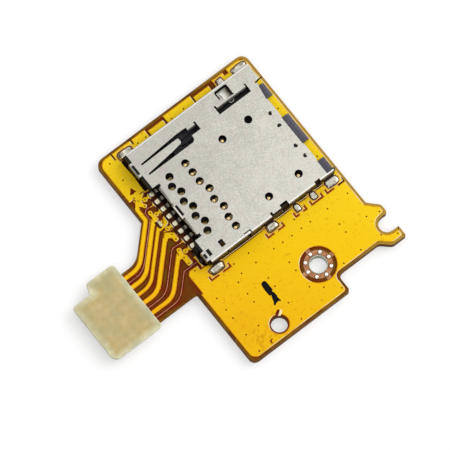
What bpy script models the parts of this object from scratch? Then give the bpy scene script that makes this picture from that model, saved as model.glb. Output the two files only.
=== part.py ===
"""A push-push socket for micro memory cards, soldered on its own small flexible circuit.

The origin is under the middle of the socket, on the underside of the board's backing. +X points
out of the card mouth, +Y towards the ejector's side of the socket and +Z up.
"""

import math

import bmesh
import bpy
from mathutils import Vector
from mathutils.geometry import delaunay_2d_cdt

# Every size below is in millimetres; MM turns it into the metres of the scene
MM = 0.001

# Layers of the board, from its underside up
BACKING_THICK = 0.60
FILM_THICK = 0.20
COPPER_THICK = 0.035
LAYER_GAP = 0.01
STIFFENER_THICK = 0.30
ROUND_STEPS = 5

# Outline of the board: its size, and where its left and top sides lie from the socket's middle
BOARD_LENGTH = 17.67
BOARD_WIDTH = 24.38
BOARD_LEFT = -9.81
BOARD_TOP = 8.01
BOARD_RIGHT = BOARD_LEFT + BOARD_LENGTH
BOARD_BOTTOM = BOARD_TOP - BOARD_WIDTH
BOARD_STEP = 0.19
CORNER_RADIUS = 0.80
EAR_REACH = 1.02
EAR_TOP = BOARD_BOTTOM + 5.77
EAR_ROUNDING = 0.47
EAR_TIP_ROUNDING = 0.26
NOTCH_RADIUS = 0.84
NOTCH_DEPTH = 0.73
NOTCH_Y = BOARD_BOTTOM + 2.96
PRONG_WIDTH = 1.14
RECESS_TOP = BOARD_BOTTOM + 1.89
RECESS_LEFT = BOARD_RIGHT - 6.41
RECESS_RIGHT = BOARD_RIGHT - 1.54
RECESS_SLOPE = 1.0
COPPER_MARGIN = 0.25

# Holes of the board
SCREW_HOLE = (BOARD_RIGHT - 7.21, BOARD_BOTTOM + 3.80)
SCREW_HOLE_DIAMETER = 1.80
SCREW_PAD_DIAMETER = 2.80
SCREW_GAP_DIAMETER = 3.54
SCREW_BRIDGE = 0.45
SCREW_BRIDGE_ANGLES = (0, 90, 180, 270)
PIN_HOLE = (BOARD_LEFT + 4.05, BOARD_BOTTOM + 1.51)
PIN_HOLE_DIAMETER = 1.60

# Tail of the circuit and the plate on its end
TAIL_TOP = -2.01
TAIL_BOTTOM = -7.92
TAIL_BEND_RADIUS = 2.0
TAIL_RISE = 2.86
TAIL_RUN = 1.81
TAIL_CORNER_X = BOARD_LEFT - TAIL_RISE
PLATE_LENGTH = 5.60
PLATE_RIGHT = TAIL_CORNER_X - TAIL_RUN
PLATE_LEFT = PLATE_RIGHT - PLATE_LENGTH
PLATE_TOP = -1.85
PLATE_BOTTOM = -8.40
PLATE_TAB_TOP = -0.80
PLATE_TAB_LEFT = PLATE_RIGHT - 3.27
PLATE_INSET = 0.12
PLATE_OVERLAP = 0.25

# Plug under the plate
PLUG_LENGTH = 4.30
PLUG_WIDTH = 2.50
PLUG_SHIFT = 0.20
PLUG_WALL = 0.30
PLUG_ISLAND = 0.64
PLUG_GROOVE = 0.16
PLUG_PITCH = 0.60
PLUG_ROWS = 5
PLUG_LEAD_WIDTH = 0.22
PLUG_LEAD_THICK = 0.08
PLUG_LEAD_REACH = 0.35
NAIL_LENGTH = 1.40
NAIL_THICK = 0.12

# Socket: cover, and the seat it stands on
SHELL_LENGTH = 14.46
SHELL_WIDTH = 13.26
SOCKET_HEIGHT = 1.38
SHELL_THICK = 0.15
BEND_INNER = 0.02
FOOT_BEND = 0.05
FOOT_LENGTH = 0.48
FLAP_BEND = 0.20
FIT = 0.02

# Cut-outs of the cover: round holes, half-round marks (x, y, first angle) and windows
HOLE_DIAMETER = 0.80
ROOT_HOLES_X = (-5.31, -5.71)
LONE_HOLES = ((0.85, 2.20), (3.93, 2.23), (0.85, -4.86), (4.39, -4.83))
HALF_ROUNDS = ((5.95, 1.43, 20), (5.87, -0.03, -45), (5.89, -2.49, 80), (5.98, -3.80, 45))
HALF_ROUND_RADIUS = 0.22
HALF_ROUND_ANGLE = 250

# Copper-free places of the high side: first and last x, and the level from which they are free
HIGH_GAPS = (
    (-8.14, -8.00, 7.10), (-5.85, -5.70, 7.30), (-4.12, -3.92, 6.90), (-3.92, -2.15, 7.48),
    (-2.15, -1.95, 6.90), (1.28, 1.43, 6.90), (1.43, 3.28, 7.47), (3.28, 3.81, 6.90),
    (3.81, 5.10, 7.69), (5.10, 5.55, 7.32),
)
BRACKET_LINE = 0.16
BRACKET_NEAR = 0.62
BRACKET_FAR = 1.12
COPPER_TO_TAIL = 0.62

# Flaps of the cover: first and last y, x of the folded edge and length; first and last x
REAR_FLAPS = (
    (4.00, 5.60, -7.66, 0.60),
    (-1.65, 0.05, -6.84, 0.30),
    (-6.30, -5.28, -7.66, 0.60),
)
GUIDE_FLAPS = ((-1.18, -0.31), (2.32, 5.72))
GUIDE_FLAP_LENGTH = 0.68

# Tongue that presses the cam wire down, and the latch tab (first and last x, root and end y)
TONGUE_ROOT_X = -6.63
TONGUE_TIP_X = -2.31
LATCH_TAB = (3.12, 4.26, 5.30, 6.15)
LATCH_SLOPE = 0.34
LATCH_SLOT = 0.16

# Card and its way in
CARD_WIDTH = 11.0
CARD_STEP = 1.30
CARD_EDGE_Y = -6.195
CARD_PLAY = 0.09
FLOOR_THICK = 0.35
CHANNEL_FLOOR = 0.15
REAR_STOP_X = -6.13

# Contacts
CONTACT_COUNT = 8
TAIL_PITCH = 0.897
TAIL_MIDDLE_Y = -0.78
TIP_PITCH = 1.096
TIP_FIRST_Y = 2.49
TIP_X = -3.33
POWER_TIP_SHIFT = 0.30
CONTACT_THICK = 0.10
CONTACT_WIDTH = 0.36
CONTACT_LIFT = 0.40
SWITCH_WIDTH = 0.34
SWITCH_SPRING_Y = -5.62
SWITCH_STOP_Y = -4.70

# Ejector: slider, wire, spring and leaf
EJECT_STROKE = 3.20
SLIDER_REAR_X = -3.43
CAM_LENGTH = 3.82
CAM_HEIGHT = 0.465
ARM_END_X = 5.07
ARM_WIDTH = 0.72
ARM_DROP = 0.40
PUSHER_SETBACK = 0.58
PUSHER_THICK = 0.62
PUSHER_REACH = 0.80
LEAF_THICK = 0.07
LEAF_WIDTH = 0.28
PIN_DIAMETER = 0.26
PIN_PIVOT = (-6.98, 4.30)
PIN_END = (-3.13, 4.40)
PIN_SWING = 0.35
GROOVE_DEPTH = 0.28
SPRING_DIAMETER = 0.80
SPRING_WIRE = 0.13
SPRING_TURNS = 10
SPRING_Y = 5.735
PEG_DIAMETER = 0.34

# Levels that follow from the layers
FILM_Z = BACKING_THICK + LAYER_GAP
COPPER_Z = FILM_Z + FILM_THICK + LAYER_GAP
SEAT_Z = COPPER_Z + COPPER_THICK + LAYER_GAP
COVER_Z = SEAT_Z + SOCKET_HEIGHT
UNDER_COVER_Z = COVER_Z - SHELL_THICK
FLOOR_Z = SEAT_Z + FLOOR_THICK
CHANNEL_Z = SEAT_Z + CHANNEL_FLOOR
CAM_TOP_Z = CHANNEL_Z + FIT + CAM_HEIGHT
PIN_Z = CAM_TOP_Z + FIT + PIN_DIAMETER / 2
SPRING_AXIS_Z = CHANNEL_Z + FIT + 0.08 + SPRING_DIAMETER / 2
CONTACT_FOOT_Z = SEAT_Z + CONTACT_THICK / 2
CONTACT_RUN_Z = SEAT_Z + FLOOR_THICK / 2
HALF_LENGTH = SHELL_LENGTH / 2
HALF_WIDTH = SHELL_WIDTH / 2
BEND_RADIUS = SHELL_THICK + BEND_INNER
BASE_SIDE = HALF_WIDTH - SHELL_THICK - FIT
BASE_REAR = -HALF_LENGTH - 0.22
BASE_FRONT = HALF_LENGTH + 0.24
TAIL_RECESS_X = REAR_STOP_X - 0.52
CHANNEL_REAR = REAR_STOP_X - 0.62
CHANNEL_SIDE = BASE_SIDE - 0.17
CARD_SIDE_Y = CARD_EDGE_Y + CARD_WIDTH
NARROW_SIDE_Y = CARD_SIDE_Y - CARD_STEP
FLAP_LINE_Y = CARD_SIDE_Y + 0.05 + FLAP_BEND
WALL_DROP = SOCKET_HEIGHT - SHELL_THICK - FOOT_BEND
WALL_LENGTH = BEND_RADIUS * math.pi / 2 + WALL_DROP - BEND_RADIUS
FOLD_Y = HALF_WIDTH - BEND_RADIUS
TAIL_FIRST_Y = TAIL_MIDDLE_Y + TAIL_PITCH * (CONTACT_COUNT - 1) / 2
TAIL_LAST_Y = TAIL_FIRST_Y - TAIL_PITCH * (CONTACT_COUNT - 1)
STOP_TAIL_Y = min(SWITCH_STOP_Y, TAIL_LAST_Y - 0.60)
PAD_HALF_WIDTH = 0.28 * TAIL_PITCH
STUB_DIAMETER = 0.61 * TAIL_PITCH

# Each foot of the cover: first and last x of its solder joint, and the side it is on
JOINTS = (
    ("solder_rear_low", -7.79, -6.26, -1),
    ("solder_middle_low", -1.09, 0.10, -1),
    ("solder_small_low", 2.21, 2.76, -1),
    ("solder_front_low", 4.11, 4.71, -1),
    ("solder_mouth_low", 5.93, 7.26, -1),
    ("solder_rear_high", -7.73, -6.15, 1),
    ("solder_front_high", 4.01, 4.71, 1),
    ("solder_mouth_high", 5.85, 7.38, 1),
)

# Each track: level at the plug, width, offset of its diagonal run (y less x), its pad if it has one,
# the level at which the diagonal ends, and the points that follow; both count from the pad's level
TRACKS = (
    (-2.57, 0.42, 10.12, None, 0.69, ((-9.43, 1.95), (-9.02, 2.36), (-9.02, 2.90))),
    (-3.13, 0.09, 9.56, 1, -0.95, ((-9.05, -0.21), (-8.80, 0.04), (-7.70, 0.04))),
    (-3.65, 0.43, 9.14, 2, -0.17, ((-7.70, -0.02),)),
    (-4.57, 0.34, 8.34, 3, -0.03, ((-7.70, -0.01),)),
    (-5.50, 0.44, 7.28, 4, -0.15, ((-7.70, -0.01),)),
    (-6.15, 0.09, 6.18, 6, 0.02, ((-7.70, 0.02),)),
    (-6.75, 0.42, 5.24, 7, 0.10, ((-7.70, 0.0),)),
    (-7.35, 0.09, 4.22, None, -5.42, ((-7.98, -5.42),)),
)

# Paths of the card switch's two terminals, from the soldered tail to the free end
SWITCH_PATHS = {
    "detect_spring": (
        (-7.98, SWITCH_SPRING_Y, CONTACT_FOOT_Z), (-7.70, SWITCH_SPRING_Y, CONTACT_FOOT_Z),
        (-7.58, SWITCH_SPRING_Y, CONTACT_RUN_Z), (-6.60, SWITCH_SPRING_Y, CONTACT_RUN_Z),
        (-6.00, SWITCH_SPRING_Y, FLOOR_Z + 0.35), (-5.20, SWITCH_SPRING_Y + 0.17, FLOOR_Z + 0.50)),
    "detect_stop": (
        (-7.98, STOP_TAIL_Y, CONTACT_FOOT_Z), (-7.70, STOP_TAIL_Y, CONTACT_FOOT_Z),
        (-7.58, STOP_TAIL_Y, CONTACT_RUN_Z), (-6.00, STOP_TAIL_Y, CONTACT_RUN_Z),
        (-5.60, STOP_TAIL_Y - 0.25, CONTACT_RUN_Z), (-4.95, STOP_TAIL_Y - 0.50, CONTACT_RUN_Z + 0.10)),
}


def colour(text):
    """Linear red, green and blue of an sRGB hex colour."""
    parts = [int(text[i:i + 2], 16) / 255 for i in (1, 3, 5)]
    return [c / 12.92 if c <= 0.04045 else ((c + 0.055) / 1.055) ** 2.4 for c in parts]


def material(name, hex_colour, roughness, metallic=0.0):
    """A Principled material with the finish of one kind of piece."""
    found = bpy.data.materials.get(name)
    if found:
        return found
    made = bpy.data.materials.new(name)
    made.use_nodes = True
    shader = made.node_tree.nodes["Principled BSDF"]
    shader.inputs["Base Color"].default_value = (*colour(hex_colour), 1.0)
    shader.inputs["Roughness"].default_value = roughness
    shader.inputs["Metallic"].default_value = metallic
    made.diffuse_color = (*colour(hex_colour), 1.0)
    return made


def add_piece(name, solid, finish, origin=(0, 0, 0), parent=None):
    """Turn a bmesh in millimetres into an object whose origin lies at the given point."""
    bmesh.ops.recalc_face_normals(solid, faces=solid.faces)
    shift = Vector(origin)
    for vert in solid.verts:
        vert.co = (vert.co - shift) * MM
    mesh = bpy.data.meshes.new(name)
    solid.to_mesh(mesh)
    solid.free()
    mesh.materials.append(finish)
    mesh.shade_smooth()
    mesh.set_sharp_from_angle(angle=math.radians(35))
    piece = bpy.data.objects.new(name, mesh)
    bpy.context.collection.objects.link(piece)
    piece.location = shift * MM
    if parent:
        piece.parent = parent
        piece.location = shift * MM - parent.location
    return piece


def arc(centre, radius, start, end, steps=ROUND_STEPS):
    """Points along an arc, with its angles in degrees."""
    angles = [math.radians(start + (end - start) * i / steps) for i in range(steps + 1)]
    return [(centre[0] + radius * math.cos(a), centre[1] + radius * math.sin(a)) for a in angles]


def circle(centre, diameter, sides=16):
    """A closed round outline."""
    return arc(centre, diameter / 2, 0, 360, sides)[:-1]


def rectangle(x0, y0, x1, y1):
    """A closed four-cornered outline."""
    return [(x0, y0), (x1, y0), (x1, y1), (x0, y1)]


def filleted(corners, steps=ROUND_STEPS):
    """An outline through corners (x, y, radius), each rounded by an arc that touches both sides."""
    points = []
    for i, (x, y, radius) in enumerate(corners):
        here = Vector((x, y))
        if not radius:
            points.append((x, y))
            continue
        before = (Vector(corners[i - 1][:2]) - here).normalized()
        after = (Vector(corners[(i + 1) % len(corners)][:2]) - here).normalized()
        half = before.angle(after) / 2
        centre = here + (before + after).normalized() * radius / math.sin(half)
        first = here + before * radius / math.tan(half) - centre
        last = here + after * radius / math.tan(half) - centre
        turn = first.angle_signed(last)
        for k in range(steps + 1):
            angle = -turn * k / steps
            points.append((centre.x + first.x * math.cos(angle) - first.y * math.sin(angle),
                           centre.y + first.x * math.sin(angle) + first.y * math.cos(angle)))
    return points


def inside(point, outline):
    """True where a point lies within a closed outline."""
    x, y = point
    crossings = 0
    for (x0, y0), (x1, y1) in zip(outline, outline[1:] + outline[:1]):
        if (y0 > y) != (y1 > y) and x < x0 + (y - y0) * (x1 - x0) / (y1 - y0):
            crossings += 1
    return crossings % 2 == 1


def sheet(adds, cuts=(), tabs=(), lines=()):
    """A flat pattern as (points, triangles): the adds less the cuts, plus the tabs left in them.

    Lines are scored across the pattern, so that it can be folded along them.
    """
    points, edges = [], []
    for outline in (*adds, *cuts, *tabs):
        start = len(points)
        points += [Vector(p) for p in outline]
        edges += [(start + i, start + (i + 1) % len(outline)) for i in range(len(outline))]
    for first, last in lines:
        edges.append((len(points), len(points) + 1))
        points += [Vector(first), Vector(last)]
    spots, _, faces, _, _, _ = delaunay_2d_cdt(points, edges, [], 0, 1e-5)
    kept = []
    for face in faces:
        middle = sum((spots[i] for i in face), Vector((0, 0))) / len(face)
        solid = any(inside(middle, outline) for outline in adds)
        solid = solid and not any(inside(middle, outline) for outline in cuts)
        if solid or any(inside(middle, outline) for outline in tabs):
            kept.append(tuple(face))
    return spots, kept


def thicken(pattern, place, low, high):
    """A closed solid from a flat pattern; place(x, y, depth) gives each point of either skin."""
    spots, faces = pattern
    solid = bmesh.new()
    skins = []
    for depth in (low, high):
        skins.append({i: solid.verts.new(place(spots[i].x, spots[i].y, depth))
                      for i in sorted({i for face in faces for i in face})})
    sides = {}
    for face in faces:
        solid.faces.new([skins[1][i] for i in face])
        solid.faces.new([skins[0][i] for i in reversed(face)])
        for first, last in zip(face, face[1:] + face[:1]):
            if (last, first) in sides:
                del sides[last, first]
            else:
                sides[first, last] = True
    for first, last in sides:
        solid.faces.new([skins[0][first], skins[0][last], skins[1][last], skins[1][first]])
    return solid


def plate(outline, low, high, cuts=(), extra=()):
    """A flat plate between two levels, with holes cut through it and extra outlines joined on."""
    return thicken(sheet([outline, *extra], cuts), lambda x, y, z: (x, y, z), low, high)


def block(x0, y0, z0, x1, y1, z1):
    """A rectangular block."""
    return plate(rectangle(x0, y0, x1, y1), z0, z1)


def loft(rings):
    """A closed solid through rings of equal length, with flat ends."""
    solid = bmesh.new()
    loops = [[solid.verts.new(p) for p in ring] for ring in rings]
    for near, far in zip(loops, loops[1:]):
        for i in range(len(near)):
            k = (i + 1) % len(near)
            solid.faces.new([near[i], near[k], far[k], far[i]])
    solid.faces.new(loops[0][::-1])
    solid.faces.new(loops[-1])
    return solid


def strip(path, thick, across=Vector((0, 1, 0))):
    """A strip of sheet metal bent along a path of ((x, y, z), width), mitred at each bend."""
    rings = []
    for i, (point, width) in enumerate(path):
        here = Vector(point)
        before = here - Vector(path[max(i - 1, 0)][0])
        after = Vector(path[min(i + 1, len(path) - 1)][0]) - here
        flat = [(v - across * v.dot(across)).normalized() for v in (before, after) if v.length]
        along = (flat[0] + flat[-1]).normalized()
        mitre = 1 / max(along.dot(flat[0]), 0.5)
        up = across.cross(along) * thick / 2 * mitre
        side = across * width / 2
        rings.append([here - side - up, here + side - up, here + side + up, here - side + up])
    return loft(rings)


def wire(path, diameter, sides=8):
    """A round wire swept along a path, its section turned no more than the path itself turns."""
    points = [Vector(p) for p in path]
    ahead = (points[1] - points[0]).normalized()
    normal = ahead.orthogonal().normalized()
    rings = []
    for i, here in enumerate(points):
        before = (here - points[i - 1]).normalized() if i else ahead
        after = (points[i + 1] - here).normalized() if i + 1 < len(points) else before
        along = (before + after).normalized()
        normal = (normal - along * normal.dot(along)).normalized()
        second = along.cross(normal)
        spokes = [2 * math.pi * k / sides for k in range(sides)]
        rings.append([here + (normal * math.cos(a) + second * math.sin(a)) * diameter / 2 for a in spokes])
    return loft(rings)


def combine(solid, others, operation):
    """Join others to a solid, or cut them from it, with exact Booleans that are applied here."""
    def temporary(made):
        bmesh.ops.recalc_face_normals(made, faces=made.faces)
        mesh = bpy.data.meshes.new("shape")
        made.to_mesh(mesh)
        made.free()
        holder = bpy.data.objects.new("shape", mesh)
        bpy.context.collection.objects.link(holder)
        return holder

    body = temporary(solid)
    tools = [temporary(other) for other in others]
    for tool in tools:
        modifier = body.modifiers.new("shape", "BOOLEAN")
        modifier.operation = operation
        modifier.object = tool
    result = bmesh.new()
    result.from_object(body, bpy.context.evaluated_depsgraph_get())
    for holder in (body, *tools):
        mesh = holder.data
        bpy.data.objects.remove(holder)
        bpy.data.meshes.remove(mesh)
    bmesh.ops.dissolve_limit(result, angle_limit=math.radians(0.1), verts=result.verts, edges=result.edges)
    bmesh.ops.triangulate(result, faces=result.faces)
    return result


def cut(solid, *tools):
    """The solid less each tool."""
    return combine(solid, tools, "DIFFERENCE")


def join(solid, *others):
    """The solid and the others as one body."""
    return combine(solid, others, "UNION")


# Board

def lower_corners(inset):
    """Corners of the board from its top right, down the ear and notch, round to its lower left."""
    right = BOARD_RIGHT - inset
    ear = BOARD_RIGHT + EAR_REACH - inset
    notch_x = BOARD_RIGHT + EAR_REACH - NOTCH_DEPTH
    notch = arc((notch_x, NOTCH_Y), NOTCH_RADIUS + inset, 90, 270, 8)
    prong_low = NOTCH_Y - NOTCH_RADIUS - PRONG_WIDTH + inset
    recess = RECESS_TOP + inset
    low = BOARD_BOTTOM + inset
    slant = inset * 0.41
    ear_high = EAR_TOP - EAR_REACH - slant
    ear_low = NOTCH_Y + NOTCH_RADIUS + inset
    ear_side = ear_high - ear_low
    return [
        (right, BOARD_TOP - inset, CORNER_RADIUS),
        (right, EAR_TOP - slant, 0.3),
        (ear, ear_high, EAR_ROUNDING * ear_side),
        (ear, ear_low, EAR_TIP_ROUNDING * ear_side),
        *[(x, y, 0) for x, y in notch],
        (ear, NOTCH_Y - NOTCH_RADIUS - inset, 0.12),
        (ear, prong_low, 0.15),
        (RECESS_RIGHT + RECESS_SLOPE + slant, prong_low, 0.6),
        (RECESS_RIGHT + slant, recess, 0.6),
        (RECESS_LEFT - inset, recess, 0.6),
        (RECESS_LEFT - inset, low, 0.3),
        (BOARD_LEFT - BOARD_STEP + inset, low, CORNER_RADIUS - 0.1),
    ]


def board_outline(inset=0.0):
    """Outline of the board part without its tail, moved inwards by the inset."""
    left = BOARD_LEFT + inset
    return filleted([
        (left, BOARD_TOP - inset, CORNER_RADIUS),
        *lower_corners(inset),
        (left - BOARD_STEP, TAIL_BOTTOM - inset, 0),
        (left, TAIL_BOTTOM - inset, 0),
    ])


def film_outline():
    """Outline of the whole film, with the tail that runs under the plate."""
    rise = BOARD_LEFT - TAIL_CORNER_X
    plate_left = PLATE_LEFT + PLATE_INSET
    return filleted([
        (BOARD_LEFT, BOARD_TOP, CORNER_RADIUS),
        *lower_corners(0),
        (BOARD_LEFT - BOARD_STEP, TAIL_BOTTOM, 0.35),
        (plate_left, TAIL_BOTTOM, 0.3),
        (plate_left, TAIL_TOP, 0.3),
        (TAIL_CORNER_X, TAIL_TOP, TAIL_BEND_RADIUS),
        (BOARD_LEFT, TAIL_TOP + rise, 0.4),
    ])


def plate_outline(inset=0.0):
    """Outline of the stiffener plate with its step."""
    return filleted([
        (PLATE_LEFT + inset, PLATE_TOP - inset, 0.35),
        (PLATE_TAB_LEFT + inset - 0.25, PLATE_TOP - inset, 0.3),
        (PLATE_TAB_LEFT + inset + 0.1, PLATE_TAB_TOP - inset, 0.3),
        (PLATE_RIGHT - inset, PLATE_TAB_TOP - inset, 0.4),
        (PLATE_RIGHT - inset, PLATE_BOTTOM + inset, 0.4),
        (PLATE_LEFT + inset, PLATE_BOTTOM + inset, 0.7),
    ], 4)


def pad_bracket(x0, x1, side, closed=False):
    """Copper-free lines round a soldered pad: two L shapes, or one U shape where it is closed."""
    line = BRACKET_LINE
    near = HALF_WIDTH + BRACKET_NEAR
    far = HALF_WIDTH + BRACKET_FAR
    left, right = x0 - 0.42, x1 + 0.42
    middle = (left + right) / 2
    half_gap = 0.0 if closed else 0.24
    shapes = []
    for outer, sign in ((left, 1), (right, -1)):
        end = middle - sign * half_gap
        shapes.append([(outer, side * near), (outer, side * far), (end, side * far),
                       (end, side * (far - line)), (outer + sign * line, side * (far - line)),
                       (outer + sign * line, side * near)])
    return shapes


def band(points, width):
    """Outline of a line of even width along a path."""
    left, right = [], []
    for i, point in enumerate(points):
        here = Vector(point)
        before = (here - Vector(points[max(i - 1, 0)])).normalized()
        after = (Vector(points[min(i + 1, len(points) - 1)]) - here).normalized()
        along = (before + after).normalized()
        reach = width / 2 / max(along.dot(before if i else after), 0.5)
        normal = Vector((-along.y, along.x)) * reach
        left.append(tuple(here + normal))
        right.append(tuple(here - normal))
    return left + right[::-1]


def tail_y(index):
    """Level of a contact's soldered tail."""
    return TAIL_FIRST_Y - TAIL_PITCH * index


def tip_place(index):
    """Place of a contact's tip; the two supply contacts meet the card's pads first."""
    return TIP_X + (POWER_TIP_SHIFT if index in (3, 5) else 0), TIP_FIRST_Y - TIP_PITCH * index


def contact_pad(index):
    """Outline of the copper pad under a contact's tail."""
    y = tail_y(index)
    return rectangle(-7.85, y - PAD_HALF_WIDTH, -7.02, y + PAD_HALF_WIDTH)


def make_board():
    """Film, backing, copper and the bare ring for the screw."""
    holes = [circle(SCREW_HOLE, SCREW_HOLE_DIAMETER, 24), circle(PIN_HOLE, PIN_HOLE_DIAMETER, 24)]
    backing = material("glass epoxy backing", "#5C4418", 0.55)
    film = material("polyimide film", "#7A2E06", 0.35)
    copper = material("copper under cover film", "#F3BC1C", 0.38, 0.25)
    bare = material("bare copper", "#B8703C", 0.35, 0.9)
    add_piece("board_backing", plate(board_outline(), 0, BACKING_THICK, holes), backing)
    add_piece("flex_film", plate(film_outline(), FILM_Z, FILM_Z + FILM_THICK, holes), film)

    copper_low, copper_high = COPPER_Z, COPPER_Z + COPPER_THICK
    end = TAIL_FIRST_Y + COPPER_TO_TAIL
    field = [(BOARD_LEFT - 1, end), (-8.10, end), (-6.90, end - 0.33), (-6.90, -6.20), (-8.33, -6.20),
             (-8.33, -5.70), (-9.25, -5.70), (-9.72, -6.15), (BOARD_LEFT - 1, -6.15)]
    over = BOARD_TOP - COPPER_MARGIN + 0.10
    gaps = [rectangle(x0, level, x1, over) for x0, x1, level in HIGH_GAPS]
    for name, x0, x1, side in JOINTS:
        if side < 0:
            gaps += pad_bracket(x0, x1, side, name == "solder_front_low")
    open_round = circle(SCREW_HOLE, SCREW_GAP_DIAMETER, 32)
    pin_clear = circle(PIN_HOLE, PIN_HOLE_DIAMETER + 0.3, 24)
    ground = plate(board_outline(COPPER_MARGIN), copper_low, copper_high,
                   [field, open_round, pin_clear, *gaps])
    add_piece("ground_copper", ground, copper)

    bridges = []
    for angle in SCREW_BRIDGE_ANGLES:
        a = math.radians(angle)
        reach = SCREW_GAP_DIAMETER / 2 - 0.04
        end = (SCREW_HOLE[0] + reach * math.cos(a), SCREW_HOLE[1] + reach * math.sin(a))
        bridges.append(band([SCREW_HOLE, end], SCREW_BRIDGE))
    ring = plate(circle(SCREW_HOLE, SCREW_PAD_DIAMETER, 32), copper_low, copper_high,
                 [circle(SCREW_HOLE, SCREW_HOLE_DIAMETER + 0.1, 32)], bridges)
    add_piece("screw_pad", ring, bare)


def make_tracks():
    """Tracks of the tail: level under the plate, up a diagonal and on to their pads."""
    copper = material("copper under cover film", "#F3BC1C", 0.38, 0.25)
    fine = material("fine copper track", "#D08A5C", 0.4, 0.3)
    low, high = COPPER_Z, COPPER_Z + COPPER_THICK
    for number, (level, width, offset, pad, turn, rest) in enumerate(TRACKS, 1):
        corner = level - offset
        base = 0 if pad is None else tail_y(pad)
        extra = [] if pad is None else [contact_pad(pad)]
        bend = TAIL_BEND_RADIUS
        path = [(PLATE_RIGHT - PLATE_OVERLAP, level)]
        path += arc((corner - bend * math.tan(math.pi / 8), level + bend), bend, -90, -45, 4)
        path.append((base + turn - offset, base + turn))
        path += [(x, base + rise) for x, rise in rest]
        track = plate(band(path, width), low, high, extra=extra)
        add_piece(f"track_{number}", track, copper if width > 0.2 else fine)
    for index in (0, 5):
        y = tail_y(index)
        stub = [circle((-8.36, y - 0.03), STUB_DIAMETER, 16), rectangle(-8.36, y - 0.12, -7.7, y + 0.12)]
        add_piece(f"pad_{index + 1}", plate(contact_pad(index), low, high, extra=stub), copper)


def make_tail_plug():
    """The stiffener plate on the tail's end and the board-to-board plug under it."""
    cream = material("glass epoxy plate", "#CBBE8A", 0.6)
    plastic = material("ivory moulding", "#E4DCC6", 0.5)
    gold = material("gold plate", "#DDBB66", 0.25, 1.0)
    low = SEAT_Z
    add_piece("tail_stiffener", plate(plate_outline(), low, low + STIFFENER_THICK), cream)

    x, y = (PLATE_LEFT + PLATE_RIGHT) / 2 + PLUG_SHIFT, (TAIL_TOP + TAIL_BOTTOM) / 2
    half_x, half_y = PLUG_WIDTH / 2, PLUG_LENGTH / 2
    top = BACKING_THICK
    groove_z = top - PLUG_GROOVE
    around = rectangle(x - half_x + PLUG_WALL, y - half_y + 0.5, x + half_x - PLUG_WALL, y + half_y - 0.5)
    ring = plate(around, -0.1, groove_z,
                 [rectangle(x - PLUG_ISLAND / 2, y - half_y + 1.0, x + PLUG_ISLAND / 2, y + half_y - 1.0)])
    block_outline = [(x - half_x, y - half_y, 0.12), (x + half_x, y - half_y, 0.12),
                     (x + half_x, y + half_y, 0.12), (x - half_x, y + half_y, 0.12)]
    rows = [y + PLUG_PITCH * (k - (PLUG_ROWS - 1) / 2) for k in range(PLUG_ROWS)]
    inner = half_x - PLUG_WALL
    notches = []
    for side in (-1, 1):
        for row in rows:
            ends = sorted((x + side * (inner - 0.18), x + side * (half_x + 0.1)))
            reach = PLUG_LEAD_WIDTH / 2 + 0.03
            notches.append(block(ends[0], row - reach, groove_z - 0.05, ends[1], row + reach, top + 0.1))
    add_piece("plug_housing", cut(plate(filleted(block_outline, 3), 0, top), ring, *notches), plastic)

    number = 0
    level = top - PLUG_LEAD_THICK / 2 - FIT
    for side in (-1, 1):
        for row in rows:
            number += 1
            stops = ((half_x + PLUG_LEAD_REACH, level), (inner - 0.08, level), (inner - 0.08, 0.10))
            path = [((x + side * away, row, z), PLUG_LEAD_WIDTH) for away, z in stops]
            add_piece(f"plug_contact_{number}", strip(path, PLUG_LEAD_THICK), gold)
    for name, side in (("plug_nail_low", -1), ("plug_nail_high", 1)):
        ends = sorted((y + side * (half_y + FIT), y + side * (half_y + FIT + NAIL_THICK)))
        nail = block(x - NAIL_LENGTH / 2, ends[0], top - 0.32, x + NAIL_LENGTH / 2, ends[1], top - FIT)
        add_piece(name, nail, gold)


# Socket cover: a stamped blank with its fold lines scored, folded up point by point

def fold(distance, depth, outer_radius):
    """Way out and way down of a point past a fold: round the bend, then straight down."""
    quarter = outer_radius * math.pi / 2
    angle = min(distance / outer_radius, math.pi / 2)
    radius = outer_radius - depth
    out = radius * math.sin(angle)
    down = outer_radius - radius * math.cos(angle)
    return out, down + max(distance - quarter, 0)


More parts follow.
